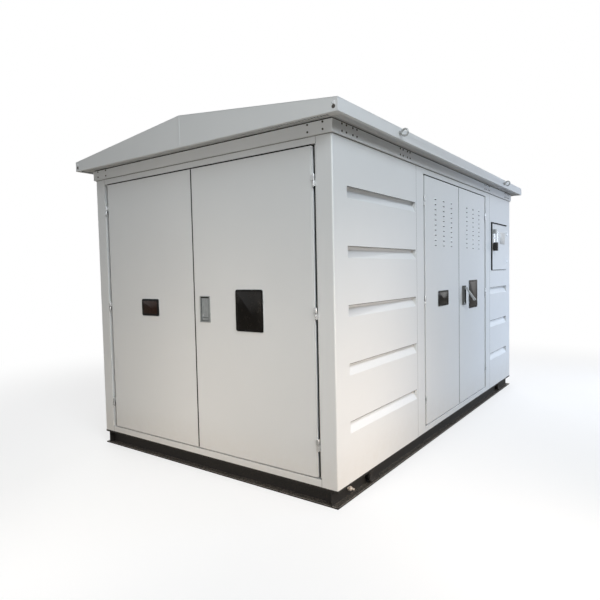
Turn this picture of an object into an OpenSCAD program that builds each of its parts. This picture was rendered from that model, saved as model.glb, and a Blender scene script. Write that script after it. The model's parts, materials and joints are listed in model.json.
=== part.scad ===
// Compact substation enclosure: a sheet steel kiosk on a channel base.
// X runs along the long side, Y across, Z up. The origin is the bottom centre of the base.
// Each wall is drawn in its own flat frame: u along the wall from its left corner,
// d inward from the outer face and z up from the top of the base.

/* [Enclosure] */
// Length of the walls, corner to corner
body_l = 3800; // [3000:50:4600]
// Width of the walls, corner to corner
body_w = 2210; // [1800:10:2700]
// Height of the walls, from the floor's underside to the cornice
body_h = 2000; // [1950:10:2400]
// Thickness of the insulated walls
wall_t = 50; // [46:1:60]
// Outer radius of the folded corners
corner_r = 8; // [3:1:15]

/* [Base] */
// Height of the base channels
channel_h = 100; // [80:1:160]
// Width of a channel flange
flange_w = 48; // [40:1:60]
// Thickness of a channel flange
flange_t = 8.5; // [6:0.5:12]
// Thickness of a channel web
web_t = 5.3; // [4:0.1:8]
// Thickness of the floor plate
floor_t = 6; // [3:1:10]
// Number of channels across under the floor
cross_members = 3; // [1:1:5]
// Distance of a lifting boss from the end of the base
boss_inset = 425; // [250:10:700]
// Diameter of a lifting boss's disc
boss_d = 75; // [62:1:81]
// Diameter of a lifting boss's stub
boss_stub_d = 60; // [40:1:60]
// Distance of an earth stud from the end of the base
earth_inset = 190; // [100:10:240]

/* [Doors] */
// Visible width of the corner posts on the end walls
post_w = 108; // [90:1:160]
// Height of the header over a doorway and the sill under it
rail_h = 42; // [30:1:60]
// Position of the meeting line on the end walls, from the front corner
end_meeting_u = 1125; // [900:5:1300]
// Width of the fixed panel left of the long side's doorway
left_panel_w = 1140; // [900:10:1240]
// Width of the fixed panel right of the long side's doorway
right_panel_w = 800; // [790:10:900]
// Width of the jambs beside the long side's doorway
jamb_w = 135; // [100:1:170]
// Depth of the leaves behind the wall face
leaf_recess = 2; // [1:0.5:6]
// Thickness of a door leaf
leaf_t = 30; // [25:1:32]
// Gap between leaf and jamb on the hinge side
hinge_gap = 34; // [24:1:44]
// Gap between two leaves
meeting_gap = 8; // [8:1:14]
// Gap over and under a leaf
leaf_gap = 8; // [6:1:12]
// Edge radius of a leaf's folded sides
leaf_r = 4; // [2:1:8]
// Thickness of the stops behind the leaves
stop_t = 12; // [8:1:16]
// Width of a stop behind a leaf's edge
stop_lap = 16; // [10:1:25]

/* [Hinges] */
// Height of a door hinge
hinge_h = 65; // [50:1:100]
// Radius of a hinge knuckle
knuckle_r = 6; // [5:0.5:7]
// Radius of a hinge pin
hinge_pin_r = 3; // [2:0.5:4]
// Thickness of a hinge plate
hinge_plate_t = 2.5; // [2:0.5:4]
// Depth of a hinge plate
hinge_plate_d = 26; // [20:1:28]
// Height of the lowest hinge's centre
hinge_low_z = 243; // [150:1:400]
// Height of the middle hinge's centre
hinge_mid_z = 1005; // [700:1:1300]
// Height of the top hinge's centre
hinge_top_z = 1756; // [1500:1:1850]

/* [Pressed ribs] */
// Top edge of the lowest rib
rib_z = 362; // [250:1:450]
// Distance from rib to rib
rib_pitch = 342; // [250:1:345]
// Height of a rib
rib_h = 70; // [50:1:100]
// Depth of a rib
rib_d = 28; // [15:1:32]
// Height of a rib's upright back
rib_back = 20; // [6:1:30]
// Distance of the ribs from the wall's corner
rib_corner_gap = 152; // [100:1:200]
// Distance of the ribs from the jamb
rib_jamb_gap = 18; // [10:1:40]

/* [Meter door] */
// Distance of the meter opening from the right corner
meter_u = 150; // [130:5:155]
// Width of the meter opening
meter_w = 600; // [450:5:620]
// Height of the meter opening's lower edge
meter_z = 1220; // [1150:5:1300]
// Height of the meter opening
meter_h = 500; // [350:5:560]
// Distance that the meter door stands proud of the wall
meter_proud = 6; // [2:1:10]
// Thickness of the meter door
meter_t = 26; // [15:1:32]
// Gap round the meter door at its top and sides
meter_gap = 15; // [14:1:22]
// Gap under the meter door
meter_foot_gap = 7; // [5:1:12]
// Height of a meter door hinge
meter_hinge_h = 50; // [40:1:70]
// Distance of a meter door hinge's centre from the end of the opening
meter_hinge_inset = 100; // [70:5:120]
// Distance of the padlock from the meter door's free edge
padlock_inset = 36; // [25:1:80]
// Height of the hasp's middle over the meter opening's lower edge
hasp_lift = 403; // [250:1:420]
// Length of the padlock's shackle legs
shackle_leg = 96; // [40:1:110]
// Width of the padlock's body
padlock_w = 44; // [40:1:60]
// Height of the padlock's body
padlock_h = 86; // [40:1:90]

/* [Plates and locks] */
// Thickness of the dark plates on the leaves
plate_t = 6; // [3:1:10]
// Corner radius of the dark plates
plate_r = 14; // [4:1:25]
// Width of the sight plate on the end door
sight_w = 225; // [150:1:300]
// Height of the sight plate on the end door
sight_h = 264; // [150:1:320]
// Distance of the sight plate's middle from the end doors' meeting line
sight_from_meeting = 497; // [400:1:600]
// Width of the small plate on the other end leaf
end_plate_w = 190; // [100:1:250]
// Distance of the small end plate's middle from the end doors' meeting line
end_plate_from_meeting = 465; // [300:1:500]
// Distance of the left front plate's middle from the front doors' meeting line
front_plate_from_meeting = 396; // [250:1:450]
// Width of the left front plate
front_plate_w = 230; // [150:1:260]
// Height of the small plates
small_plate_h = 123; // [80:1:180]
// Distance of the tall front plate's middle from the front doors' meeting line
tall_plate_from_meeting = 382; // [360:1:450]
// Width of the tall front plate
tall_plate_w = 240; // [150:1:300]
// Height of the tall front plate
tall_plate_h = 257; // [180:1:320]
// Height of the plates' and locks' centre line
plate_z = 1008; // [900:5:1100]
// Distance of the paddle lock's middle from the end doors' meeting line
paddle_from_meeting = 104; // [80:1:200]
// Width of the paddle lock's rim
paddle_lock_w = 96; // [80:1:110]
// Height of the paddle lock's rim
paddle_lock_h = 176; // [140:1:200]
// Distance of the swing handle's middle from the front doors' meeting line
handle_from_meeting = 102; // [60:1:110]
// Width of the swing handle's base
handle_w = 44; // [40:1:60]
// Height of the swing handle's base
handle_h = 170; // [150:1:220]
// Length of the swing lever from its pivot
lever_len = 130; // [110:1:150]
// Angle of the swing lever away from the door at rest
lever_rest = 32; // [20:1:40]

/* [Roof] */
// Height of the cornice band
cornice_h = 80; // [50:1:100]
// Distance that the cornice stands proud of the wall
cornice_proud = 12; // [6:1:20]
// Height of the groove at the top of the cornice
groove_h = 8; // [4:1:12]
// Overhang of the roof past the end walls
end_overhang = 104; // [80:1:200]
// Overhang of the roof past the long walls
side_overhang = 104; // [80:1:200]
// Height of the fascia at the eaves
fascia_h = 73; // [60:1:140]
// Distance that the fascia hangs below the soffit
fascia_drop = 9; // [8:1:30]
// Rise of the roof from eave to ridge
roof_rise = 133; // [80:1:300]
// Thickness of the roof and fascia sheets
sheet_t = 4; // [3:0.5:6]
// Width of the lip folded in under the fascia
lip_w = 22; // [15:1:30]
// Gap at the seam between the two halves of a gable
gable_seam = 2; // [1:0.5:4]
// Width of the strip that covers a gable's seam
seam_strip_w = 14; // [8:1:30]
// Thickness of the strip that covers a gable's seam
seam_strip_t = 2; // [1:0.5:4]
// Thickness of the formers that carry the roof sheets
former_t = 40; // [20:1:60]
// Distance of a lifting eye from the end of the walls
eye_inset = 645; // [400:5:800]
// Diameter of the lifting eyes' shank and ring bar
eye_bar_d = 12; // [10:1:16]
// Mean diameter of a lifting eye's ring
eye_ring_d = 42; // [36:1:60]

/* [Hidden] */
$fn = 48;

cut = 1;                        // how far a cut runs past the surface it opens
fit = 0.3;                      // gap where a moving piece lies against its seat
pin_fit = 0.1;                  // radial clearance of a pin in its bore
clear = 5;                      // gap round a moving piece
base_h = channel_h + floor_t;
leaf_h = body_h - 2 * rail_h - 2 * leaf_gap;
leaf_z = rail_h + leaf_gap;
leaf_back = leaf_recess + leaf_t;
hinge_zs = [hinge_low_z, hinge_mid_z, hinge_top_z];
end_open = [post_w, body_w - post_w];
front_open = [left_panel_w + jamb_w, body_l - right_panel_w - jamb_w];
front_meeting_u = (front_open[0] + front_open[1]) / 2;
panel_ribs = 5;
meter_panel_ribs = 3;
meter_hinge_zs = [meter_z + meter_hinge_inset, meter_z + meter_h - meter_hinge_inset];
wall_top = body_h + cornice_h;
fascia_z = wall_top - fascia_drop;
eave_z = fascia_z + fascia_h;
ridge_z = eave_z + roof_rise;
eave_y = body_w / 2 + side_overhang;
gable_x = body_l / 2 + end_overhang;
eye_z = fascia_z + fascia_h / 2;
eye_neck = 8;                   // bare shank between the fascia and the ring
eye_reach = eye_ring_d / 2 + eye_bar_d / 2 + eye_neck;

steel_white = "#d3d6d8";
base_black = "#23211f";
hinge_steel = "#8c8e8e";
zinc = "#b4b7b8";
brass = "#a8763e";
gloss_black = "#161514";

// Places a wall's flat frame: u along X or Y, d inward, z from the top of the base.
module on_front() { translate([-body_l / 2, -body_w / 2, base_h]) children(); }
module on_back() { mirror([0, 1, 0]) on_front() children(); }
module on_left_end() { translate([-body_l / 2, -body_w / 2, base_h]) mirror([1, -1, 0]) children(); }
module on_right_end() { mirror([1, 0, 0]) on_left_end() children(); }
module from_right(length) { translate([length, 0, 0]) mirror([1, 0, 0]) children(); }

// A block given by its low and high corners.
module block(low, high) { translate(low) cube(high - low); }

// Outline of a channel that opens to -Y, with its web at the back.
module channel_outline() {
    square([flange_w, flange_t]);
    translate([0, channel_h - flange_t]) square([flange_w, flange_t]);
    translate([flange_w - web_t, 0]) square([web_t, channel_h]);
}

// A channel along X whose flanges point to -Y.
module channel(length) {
    rotate([90, 0, 90]) linear_extrude(length) channel_outline();
}

// Plan of a wall strip that starts at a mitred corner with a folded outer radius.
module corner_strip_outline(width) {
    difference() {
        square([width, wall_t]);
        polygon([[-cut, -cut], [wall_t + cut, wall_t + cut], [-cut, wall_t + cut]]);
        difference() {
            translate([-cut, -cut]) square([corner_r + cut, corner_r + cut]);
            translate([corner_r, corner_r]) circle(corner_r);
        }
    }
}

module corner_strip(width) { linear_extrude(body_h) corner_strip_outline(width); }

// One pressed rib as a pocket: a level ledge, a short back and a slope out to the face.
module rib_pocket(width, top) {
    translate([0, 0, top]) rotate([90, 0, 90]) linear_extrude(width)
        polygon([[-cut, 0], [rib_d, 0], [rib_d, -rib_back], [0, -rib_h], [-cut, -rib_h]]);
}

module rib_row(width, count) {
    for (i = [0:count - 1])
        translate([rib_corner_gap, 0, 0])
            rib_pocket(width - rib_corner_gap - rib_jamb_gap, rib_z + i * rib_pitch);
}

module ribbed_panel(width, count) {
    difference() {
        corner_strip(width);
        rib_row(width, count);
    }
}

// Header and sill of a doorway between two places along the wall.
module doorway_rails(span) {
    block([span[0], 0, 0], [span[1], wall_t, rail_h]);
    block([span[0], 0, body_h - rail_h], [span[1], wall_t, body_h]);
}

// A door leaf from u0 to u1, with its outer upright edges folded round.
module leaf(u0, u1) {
    translate([u0, leaf_recess, leaf_z]) linear_extrude(leaf_h) difference() {
        square([u1 - u0, leaf_t]);
        for (side = [0, 1]) translate([side * (u1 - u0), 0]) mirror([side, 0]) difference() {
            translate([-cut, -cut]) square([leaf_r + cut, leaf_r + cut]);
            translate([leaf_r, leaf_r]) circle(leaf_r);
        }
    }
}

pin_above = 0.3;                // share of a hinge's height that the pin stands over its joint

// The two halves of a lift-off hinge at the origin, its pin along Z at u = 0, d = 0.
// gap is the leaf gap it stands in: the jamb lies at -gap / 2 and the leaf at +gap / 2.
module hinge_frame_half(height, gap, depth) {
    translate([0, 0, -height / 2]) cylinder(r = knuckle_r, h = height / 2 - fit / 2);
    translate([0, 0, -height / 2]) cylinder(r = hinge_pin_r, h = height * (0.5 + pin_above));
    block([-gap / 2, 0, -height / 2], [-gap / 2 + hinge_plate_t, depth, -fit / 2]);
    block([-gap / 2, -knuckle_r / 2, -height / 2], [0, knuckle_r / 2, -fit / 2]);
}

module hinge_leaf_half(height, gap, depth) {
    difference() {
        union() {
            translate([0, 0, fit / 2]) cylinder(r = knuckle_r, h = height / 2 - fit / 2);
            block([gap / 2 - hinge_plate_t, 0, fit / 2], [gap / 2, depth, height / 2]);
            block([0, -knuckle_r / 2, fit / 2], [gap / 2, knuckle_r / 2, height / 2]);
        }
        translate([0, 0, -cut]) cylinder(r = hinge_pin_r + pin_fit, h = height * pin_above + cut + fit);
    }
}

// A hinge in one piece, for a leaf that stays shut.
module whole_hinge(height, gap, depth) {
    translate([0, 0, -height / 2]) cylinder(r = knuckle_r, h = height);
    block([-gap / 2, 0, -height / 2], [-gap / 2 + hinge_plate_t, depth, 0]);
    block([-gap / 2, -knuckle_r / 2, -height / 2], [0, knuckle_r / 2, 0]);
    block([gap / 2 - hinge_plate_t, 0, 0], [gap / 2, depth, height / 2]);
    block([0, -knuckle_r / 2, 0], [gap / 2, knuckle_r / 2, height / 2]);
}

// Places hinges down a doorway's left side; mirrored by the caller for its right side.
module at_hinges(u) {
    for (z = hinge_zs) translate([u + hinge_gap / 2, 0, z]) children();
}

module at_right_hinges(u, length) { from_right(length) at_hinges(length - u) children(); }

// The meter door hangs on the side nearer the corner, at the face plane of the leaf.
module at_meter_hinges() {
    on_front() from_right(body_l) for (z = meter_hinge_zs)
        translate([meter_u + meter_gap / 2, -meter_proud, z]) children();
}

// A plate with rounded corners that lies on a leaf, its middle at u.
module rounded_plate(u, width, height, thickness) {
    r = plate_r;
    translate([u - width / 2, leaf_recess, plate_z - height / 2]) rotate([90, 0, 0])
        linear_extrude(thickness) {
            translate([r, 0]) square([width - 2 * r, height]);
            translate([0, r]) square([width, height - 2 * r]);
            for (a = [r, width - r], b = [r, height - r]) translate([a, b]) circle(r);
        }
}

module base_rails() {
    color(base_black) for (side = [0, 1]) mirror([0, side, 0])
        translate([-body_l / 2, -body_w / 2, 0]) channel(body_l);
}

module base_ends() {
    color(base_black) for (side = [0, 1]) mirror([side, 0, 0])
        translate([-body_l / 2, -body_w / 2 + flange_w, 0]) mirror([1, -1, 0])
            channel(body_w - 2 * flange_w);
}

module base_cross_members() {
    span = body_l - 2 * flange_w;
    color(base_black) for (i = [1:cross_members])
        translate([-span / 2 + i * span / (cross_members + 1), -body_w / 2 + flange_w, 0])
            mirror([1, -1, 0]) channel(body_w - 2 * flange_w);
}

boss_disc_t = 8;
boss_setback = 9;

module lifting_bosses() {
    color(base_black) for (side = [0, 1], end = [0, 1]) mirror([end, 0, 0]) mirror([0, side, 0])
        translate([-body_l / 2 + boss_inset, -body_w / 2 + flange_w - web_t, channel_h / 2])
            rotate([90, 0, 0]) {
                cylinder(d = boss_stub_d, h = flange_w - web_t - boss_setback);
                translate([0, 0, flange_w - web_t - boss_setback - boss_disc_t])
                    cylinder(d = boss_d, h = boss_disc_t);
            }
}

earth_stud_d = 12;
earth_nut_d = 21;
earth_nut_t = 10;
earth_washer_d = 28;
earth_washer_t = 2.5;

module earth_studs() {
    color(brass) for (turn = [0, 180]) rotate([0, 0, turn])
        translate([-body_l / 2 + earth_inset, -body_w / 2 + flange_w - web_t, channel_h / 2])
            rotate([90, 0, 0]) {
                cylinder(d = earth_stud_d, h = flange_w - web_t - clear);
                cylinder(d = earth_washer_d, h = earth_washer_t);
                cylinder(d = earth_nut_d, h = earth_nut_t, $fn = 6);
                translate([0, 0, earth_nut_t + earth_washer_t]) {
                    cylinder(d = earth_washer_d, h = earth_washer_t);
                    cylinder(d = earth_nut_d, h = earth_nut_t, $fn = 6);
                }
            }
}

module floor_plate() {
    color(base_black) block([-body_l / 2, -body_w / 2, channel_h], [body_l / 2, body_w / 2, base_h]);
}

module left_end_post() { color(steel_white) corner_strip(post_w); }
module corner_post_front_left() { on_left_end() left_end_post(); }
module corner_post_back_left() { on_left_end() from_right(body_w) left_end_post(); }
module corner_post_front_right() { on_right_end() left_end_post(); }
module corner_post_back_right() { on_right_end() from_right(body_w) left_end_post(); }

module left_end_rails() { color(steel_white) on_left_end() doorway_rails(end_open); }
module right_end_rails() { color(steel_white) on_right_end() doorway_rails(end_open); }
module front_rails() { color(steel_white) on_front() doorway_rails(front_open); }
module back_rails() { color(steel_white) on_back() doorway_rails(front_open); }

module jambs() {
    block([front_open[0] - jamb_w, 0, 0], [front_open[0], wall_t, body_h]);
    block([front_open[1], 0, 0], [front_open[1] + jamb_w, wall_t, body_h]);
}

module front_jambs() { color(steel_white) on_front() jambs(); }
module back_jambs() { color(steel_white) on_back() jambs(); }

module front_panel_left() { color(steel_white) on_front() ribbed_panel(left_panel_w, panel_ribs); }
module back_panel_left() { color(steel_white) on_back() ribbed_panel(left_panel_w, panel_ribs); }
module back_panel_right() {
    color(steel_white) on_back() from_right(body_l) ribbed_panel(right_panel_w, panel_ribs);
}

module front_panel_right() {
    color(steel_white) on_front() from_right(body_l) difference() {
        ribbed_panel(right_panel_w, meter_panel_ribs);
        block([meter_u, -cut, meter_z], [meter_u + meter_w, wall_t + cut, meter_z + meter_h]);
    }
}

module left_end_door_front() {
    color(steel_white) on_left_end() difference() {
        leaf(end_open[0] + hinge_gap, end_meeting_u - meeting_gap / 2);
        paddle_tray(0, leaf_recess - cut);
    }
}

module left_end_door_back() {
    color(steel_white) on_left_end() leaf(end_meeting_u + meeting_gap / 2, end_open[1] - hinge_gap);
}

module right_end_doors() {
    color(steel_white) on_right_end() {
        leaf(end_open[0] + hinge_gap, end_meeting_u - meeting_gap / 2);
        leaf(end_meeting_u + meeting_gap / 2, end_open[1] - hinge_gap);
    }
}

module front_leaf_left() { leaf(front_open[0] + hinge_gap, front_meeting_u - meeting_gap / 2); }
module front_leaf_right() { leaf(front_meeting_u + meeting_gap / 2, front_open[1] - hinge_gap); }
module front_door_left() { color(steel_white) on_front() front_leaf_left(); }
module front_door_right() { color(steel_white) on_front() front_leaf_right(); }
module back_doors() {
    color(steel_white) on_back() {
        front_leaf_left();
        front_leaf_right();
    }
}

module meter_door() {
    color(steel_white) on_front() from_right(body_l)
        block([meter_u + meter_gap, -meter_proud, meter_z + meter_foot_gap],
            [meter_u + meter_w - meter_gap, meter_t - meter_proud, meter_z + meter_h - meter_gap]);
}

// A rectangular ring behind a leaf's edges: it fills the opening from low to high at a depth.
module stop_ring(low, high, side, foot, head, depth) {
    difference() {
        block([low[0], depth, low[1]], [high[0], depth + stop_t, high[1]]);
        block([low[0] + side, depth - cut, low[1] + foot],
            [high[0] - side, depth + stop_t + cut, high[1] - head]);
    }
}

module doorway_stop(span) {
    stop_ring([span[0], rail_h], [span[1], body_h - rail_h], hinge_gap + stop_lap,
        leaf_gap + stop_lap, leaf_gap + stop_lap, leaf_back + clear);
}

module end_door_stops() {
    color(steel_white) {
        on_left_end() doorway_stop(end_open);
        on_right_end() doorway_stop(end_open);
    }
}

module side_door_stops() {
    color(steel_white) {
        on_front() doorway_stop(front_open);
        on_back() doorway_stop(front_open);
    }
}

module meter_stop() {
    color(steel_white) on_front() from_right(body_l)
        stop_ring([meter_u, meter_z], [meter_u + meter_w, meter_z + meter_h], meter_gap + stop_lap,
            meter_foot_gap + stop_lap, meter_gap + stop_lap, meter_t - meter_proud + clear);
}

module frame_hinge_halves() {
    color(hinge_steel) {
        on_left_end() {
            at_hinges(end_open[0]) hinge_frame_half(hinge_h, hinge_gap, hinge_plate_d);
            at_right_hinges(end_open[1], body_w) hinge_frame_half(hinge_h, hinge_gap, hinge_plate_d);
        }
        on_front() {
            at_hinges(front_open[0]) hinge_frame_half(hinge_h, hinge_gap, hinge_plate_d);
            at_right_hinges(front_open[1], body_l) hinge_frame_half(hinge_h, hinge_gap, hinge_plate_d);
        }
        at_meter_hinges() hinge_frame_half(meter_hinge_h, meter_gap, hinge_plate_d);
    }
}

module left_end_hinges_front() {
    color(hinge_steel) on_left_end() at_hinges(end_open[0])
        hinge_leaf_half(hinge_h, hinge_gap, hinge_plate_d);
}

module left_end_hinges_back() {
    color(hinge_steel) on_left_end() at_right_hinges(end_open[1], body_w)
        hinge_leaf_half(hinge_h, hinge_gap, hinge_plate_d);
}

module front_hinges_left() {
    color(hinge_steel) on_front() at_hinges(front_open[0])
        hinge_leaf_half(hinge_h, hinge_gap, hinge_plate_d);
}

module front_hinges_right() {
    color(hinge_steel) on_front() at_right_hinges(front_open[1], body_l)
        hinge_leaf_half(hinge_h, hinge_gap, hinge_plate_d);
}

module meter_hinges() {
    color(hinge_steel) at_meter_hinges() hinge_leaf_half(meter_hinge_h, meter_gap, meter_t);
}

module fixed_door_hinges() {
    color(hinge_steel) {
        on_right_end() {
            at_hinges(end_open[0]) whole_hinge(hinge_h, hinge_gap, hinge_plate_d);
            at_right_hinges(end_open[1], body_w) whole_hinge(hinge_h, hinge_gap, hinge_plate_d);
        }
        on_back() {
            at_hinges(front_open[0]) whole_hinge(hinge_h, hinge_gap, hinge_plate_d);
            at_right_hinges(front_open[1], body_l) whole_hinge(hinge_h, hinge_gap, hinge_plate_d);
        }
    }
}

module sight_plate() {
    color(gloss_black) on_left_end()
        rounded_plate(end_meeting_u - sight_from_meeting, sight_w, sight_h, plate_t);
}

module end_plate() {
    color(gloss_black) on_left_end()
        rounded_plate(end_meeting_u + end_plate_from_meeting, end_plate_w, small_plate_h, plate_t);
}

module front_plate() {
    color(gloss_black) on_front()
        rounded_plate(front_meeting_u - front_plate_from_meeting, front_plate_w, small_plate_h, plate_t);
}

module tall_plate() {
    color(gloss_black) on_front()
        rounded_plate(front_meeting_u + tall_plate_from_meeting, tall_plate_w, tall_plate_h, plate_t);
}

paddle_lock_u = end_meeting_u - paddle_from_meeting - paddle_lock_w / 2;
tray_d = 18;                    // depth of the paddle lock's tray behind the leaf face
tray_wall = 2;
rim_t = 3;
rim_w = 8;
paddle_t = 6;
paddle_pin_r = 3;

// Outer shape of the tray behind the rim, grown by a margin and started at a depth.
module paddle_tray(margin, start) {
    block([paddle_lock_u + rim_w - margin, start, plate_z - paddle_lock_h / 2 + rim_w - margin],
        [paddle_lock_u + paddle_lock_w - rim_w + margin, leaf_recess + tray_d + margin,
            plate_z + paddle_lock_h / 2 - rim_w + margin]);
}

module paddle_lock() {
    color(zinc) on_left_end() difference() {
        union() {
            block([paddle_lock_u, leaf_recess - rim_t, plate_z - paddle_lock_h / 2],
                [paddle_lock_u + paddle_lock_w, leaf_recess, plate_z + paddle_lock_h / 2]);
            paddle_tray(0, leaf_recess - rim_t);
        }
        paddle_tray(-tray_wall, leaf_recess - rim_t - cut);
    }
}

// The paddle hangs from a pin that reaches both walls of the tray.
paddle_top = plate_z + paddle_lock_h / 2 - rim_w - tray_wall - clear;
paddle_side = rim_w + tray_wall + clear;

module lock_paddle() {
    color(zinc) on_left_end() {
        block([paddle_lock_u + paddle_side, leaf_recess, plate_z - paddle_lock_h / 2 + paddle_side],
            [paddle_lock_u + paddle_lock_w - paddle_side, leaf_recess + paddle_t, paddle_top]);
        translate([paddle_lock_u + rim_w + tray_wall + fit, leaf_recess + paddle_t / 2, paddle_top])
            rotate([0, 90, 0])
                cylinder(r = paddle_pin_r, h = paddle_lock_w - 2 * (rim_w + tray_wall + fit));
    }
}

handle_proud = 22;              // how far the handle's base stands off the leaf
handle_wall = 5;
handle_floor = 6;
hub_r = 12;
lever_pivot_drop = 22;          // pivot below the top of the base
lever_pivot_out = 12;           // pivot in front of the base's rim
tongue_w = 10;
ear_t = 5.5;
ear_r = 8;
lever_pin_r = 3;
lever_t = 9;
lever_tip_t = 20;               // the lever thickens outward towards its tip
tongue_gap = 0.5;               // gap between the tongue and each ear
lever_w = tongue_w + 2 * (ear_t + tongue_gap);
barrel_r = ear_r - 1;
handle_mid_u = front_meeting_u + handle_from_meeting;
handle_u = handle_mid_u - handle_w / 2;
handle_top = plate_z + handle_h / 2;
rim_d = leaf_recess - handle_proud;
pivot = [handle_mid_u, rim_d - lever_pivot_out, handle_top - lever_pivot_drop];

module handle_base() {
    color(hinge_steel) on_front() difference() {
        block([handle_u, rim_d, handle_top - handle_h], [handle_u + handle_w, leaf_recess, handle_top]);
        block([handle_u + handle_wall, rim_d - cut, handle_top - handle_h + handle_wall],
            [handle_u + handle_w - handle_wall, leaf_recess - handle_floor, handle_top - handle_wall]);
    }
}

module handle_hub() {
    hub_len = handle_proud - handle_floor - fit + clear;
    color(zinc) on_front() {
        translate([pivot[0], leaf_recess - handle_floor - fit, pivot[2]]) rotate([90, 0, 0])
            cylinder(r = hub_r, h = hub_len - ear_r / 2);
        translate(pivot) rotate([0, 90, 0]) cylinder(r = barrel_r, h = tongue_w, center = true);
        block([pivot[0] - tongue_w / 2, pivot[1], pivot[2] - barrel_r],
            [pivot[0] + tongue_w / 2, leaf_recess - handle_floor - fit - cut, pivot[2] + barrel_r]);
        translate(pivot) rotate([0, 90, 0]) cylinder(r = lever_pin_r, h = lever_w, center = true);
    }
}

module handle_lever() {
    color(zinc) on_front() translate(pivot) rotate([-lever_rest, 0, 0]) difference() {
        union() {
            for (side = [-1, 1]) translate([side * (lever_w - ear_t) / 2, 0, 0]) {
                rotate([0, 90, 0]) cylinder(r = ear_r, h = ear_t, center = true);
                block([-ear_t / 2, -lever_t / 2, -2 * ear_r - clear], [ear_t / 2, lever_t / 2, 0]);
            }
            translate([-lever_w / 2, 0, 0]) rotate([90, 0, 90]) linear_extrude(lever_w)
                polygon([[-lever_t / 2, -ear_r - clear], [lever_t / 2, -ear_r - clear],
                    [lever_t / 2, -lever_len], [lever_t / 2 - lever_tip_t, -lever_len]]);
        }
        rotate([0, 90, 0]) cylinder(r = lever_pin_r + pin_fit, h = lever_w + 2 * cut, center = true);
    }
}

padlock_mid_u = body_l - meter_u - meter_w + meter_gap + padlock_inset;
hasp_z = meter_z + hasp_lift;
hasp_h = 46;
hasp_t = 4;
hasp_out = 26;                  // reach of the hasp's lug off the meter door
hasp_lap = 14;                  // how far the lug reaches past the padlock's middle
hasp_web = 24;                  // from the padlock's middle to the hasp's web
hasp_foot_w = 50;
hasp_hole_r = 6;
lug_d = -meter_proud - hasp_out - hasp_t / 2;

// An angle on the meter door with a lug that stands off it, bored for the shackle.
module meter_hasp() {
    web_u = padlock_mid_u + hasp_web;
    z = [hasp_z - hasp_h / 2, hasp_z + hasp_h / 2];
    color(zinc) on_front() difference() {
        union() {
            block([web_u, -meter_proud - hasp_t, z[0]], [web_u + hasp_foot_w, -meter_proud, z[1]]);
            block([web_u, lug_d - hasp_t / 2, z[0]], [web_u + hasp_t, -meter_proud, z[1]]);
            block([padlock_mid_u - hasp_lap, lug_d - hasp_t / 2, z[0]],
                [web_u + hasp_t, lug_d + hasp_t / 2, z[1]]);
        }
        translate([padlock_mid_u, lug_d + hasp_t, hasp_z]) rotate([90, 0, 0])
            cylinder(r = hasp_hole_r, h = 2 * hasp_t);
    }
}

shackle_r = 4;
shackle_half = 16.5;            // mean radius of the shackle's bow
padlock_t = 26;
bow_top = hasp_z - hasp_hole_r + fit + shackle_r;
bow_z = bow_top - shackle_half;

// The shackle hangs on the lower edge of the lug's hole, its bow across the lug.
module padlock_shackle() {
    color(zinc) on_front() translate([padlock_mid_u, lug_d, bow_z]) {
        rotate([90, 0, 90]) rotate_extrude(angle = 180) translate([shackle_half, 0]) circle(shackle_r);
        for (side = [-1, 1]) translate([0, side * shackle_half, -shackle_leg])
            cylinder(r = shackle_r, h = shackle_leg);
    }
}

module padlock_body() {
    color(gloss_black) on_front() translate([padlock_mid_u, lug_d, bow_z - shackle_leg])
        block([-padlock_t / 2, -padlock_w / 2, -padlock_h], [padlock_t / 2, padlock_w / 2, 0]);
}

// A cornice bar along a wall, mitred at both corners, with a groove at its top.
module cornice_bar(length) {
    p = cornice_proud;
    translate([0, 0, body_h]) {
        linear_extrude(cornice_h - groove_h)
            polygon([[-p, -p], [length + p, -p], [length - wall_t, wall_t], [wall_t, wall_t]]);
        translate([0, 0, cornice_h - groove_h]) linear_extrude(groove_h)
            polygon([[0, 0], [length, 0], [length - wall_t, wall_t], [wall_t, wall_t]]);
    }
}

module cornice_sides() {
    color(steel_white) {
        on_front() cornice_bar(body_l);
        on_back() cornice_bar(body_l);
    }
}

module cornice_ends() {
    color(steel_white) {
        on_left_end() cornice_bar(body_w);
        on_right_end() cornice_bar(body_w);
    }
}

// Four soffit strips that lie on the cornice and reach out to the fascia.
module soffit() {
    inner_x = body_l / 2 - wall_t;
    inner_y = body_w / 2 - wall_t;
    outer_x = gable_x - sheet_t;
    outer_y = eave_y - sheet_t;
    z = [base_h + wall_top, base_h + wall_top + sheet_t];
    color(steel_white) for (side = [0, 1]) {
        mirror([0, side, 0]) block([-outer_x, -outer_y, z[0]], [outer_x, -inner_y - fit, z[1]]);
        mirror([side, 0, 0]) block([-outer_x, -inner_y, z[0]], [-inner_x, inner_y, z[1]]);
    }
}

// Height of the roof sheets' underside at a distance y from the ridge.
function under_roof(y) = base_h + ridge_z - sheet_t - roof_rise * abs(y) / eave_y;

module fascia_outline() {
    z0 = base_h + fascia_z;
    polygon([[-eave_y, z0], [-eave_y + lip_w, z0], [-eave_y + lip_w, z0 + sheet_t],
        [-eave_y + sheet_t, z0 + sheet_t], [-eave_y + sheet_t, under_roof(eave_y - sheet_t)],
        [-eave_y, under_roof(eave_y)]]);
}

module fascias() {
    color(steel_white) for (side = [0, 1]) mirror([0, side, 0]) difference() {
        translate([-gable_x, 0, 0]) rotate([90, 0, 90]) linear_extrude(2 * gable_x) fascia_outline();
        at_eyes() rotate([-90, 0, 0]) translate([0, 0, -cut])
            cylinder(d = eye_bar_d + 2 * fit, h = sheet_t + 2 * cut);
    }
}

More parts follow.
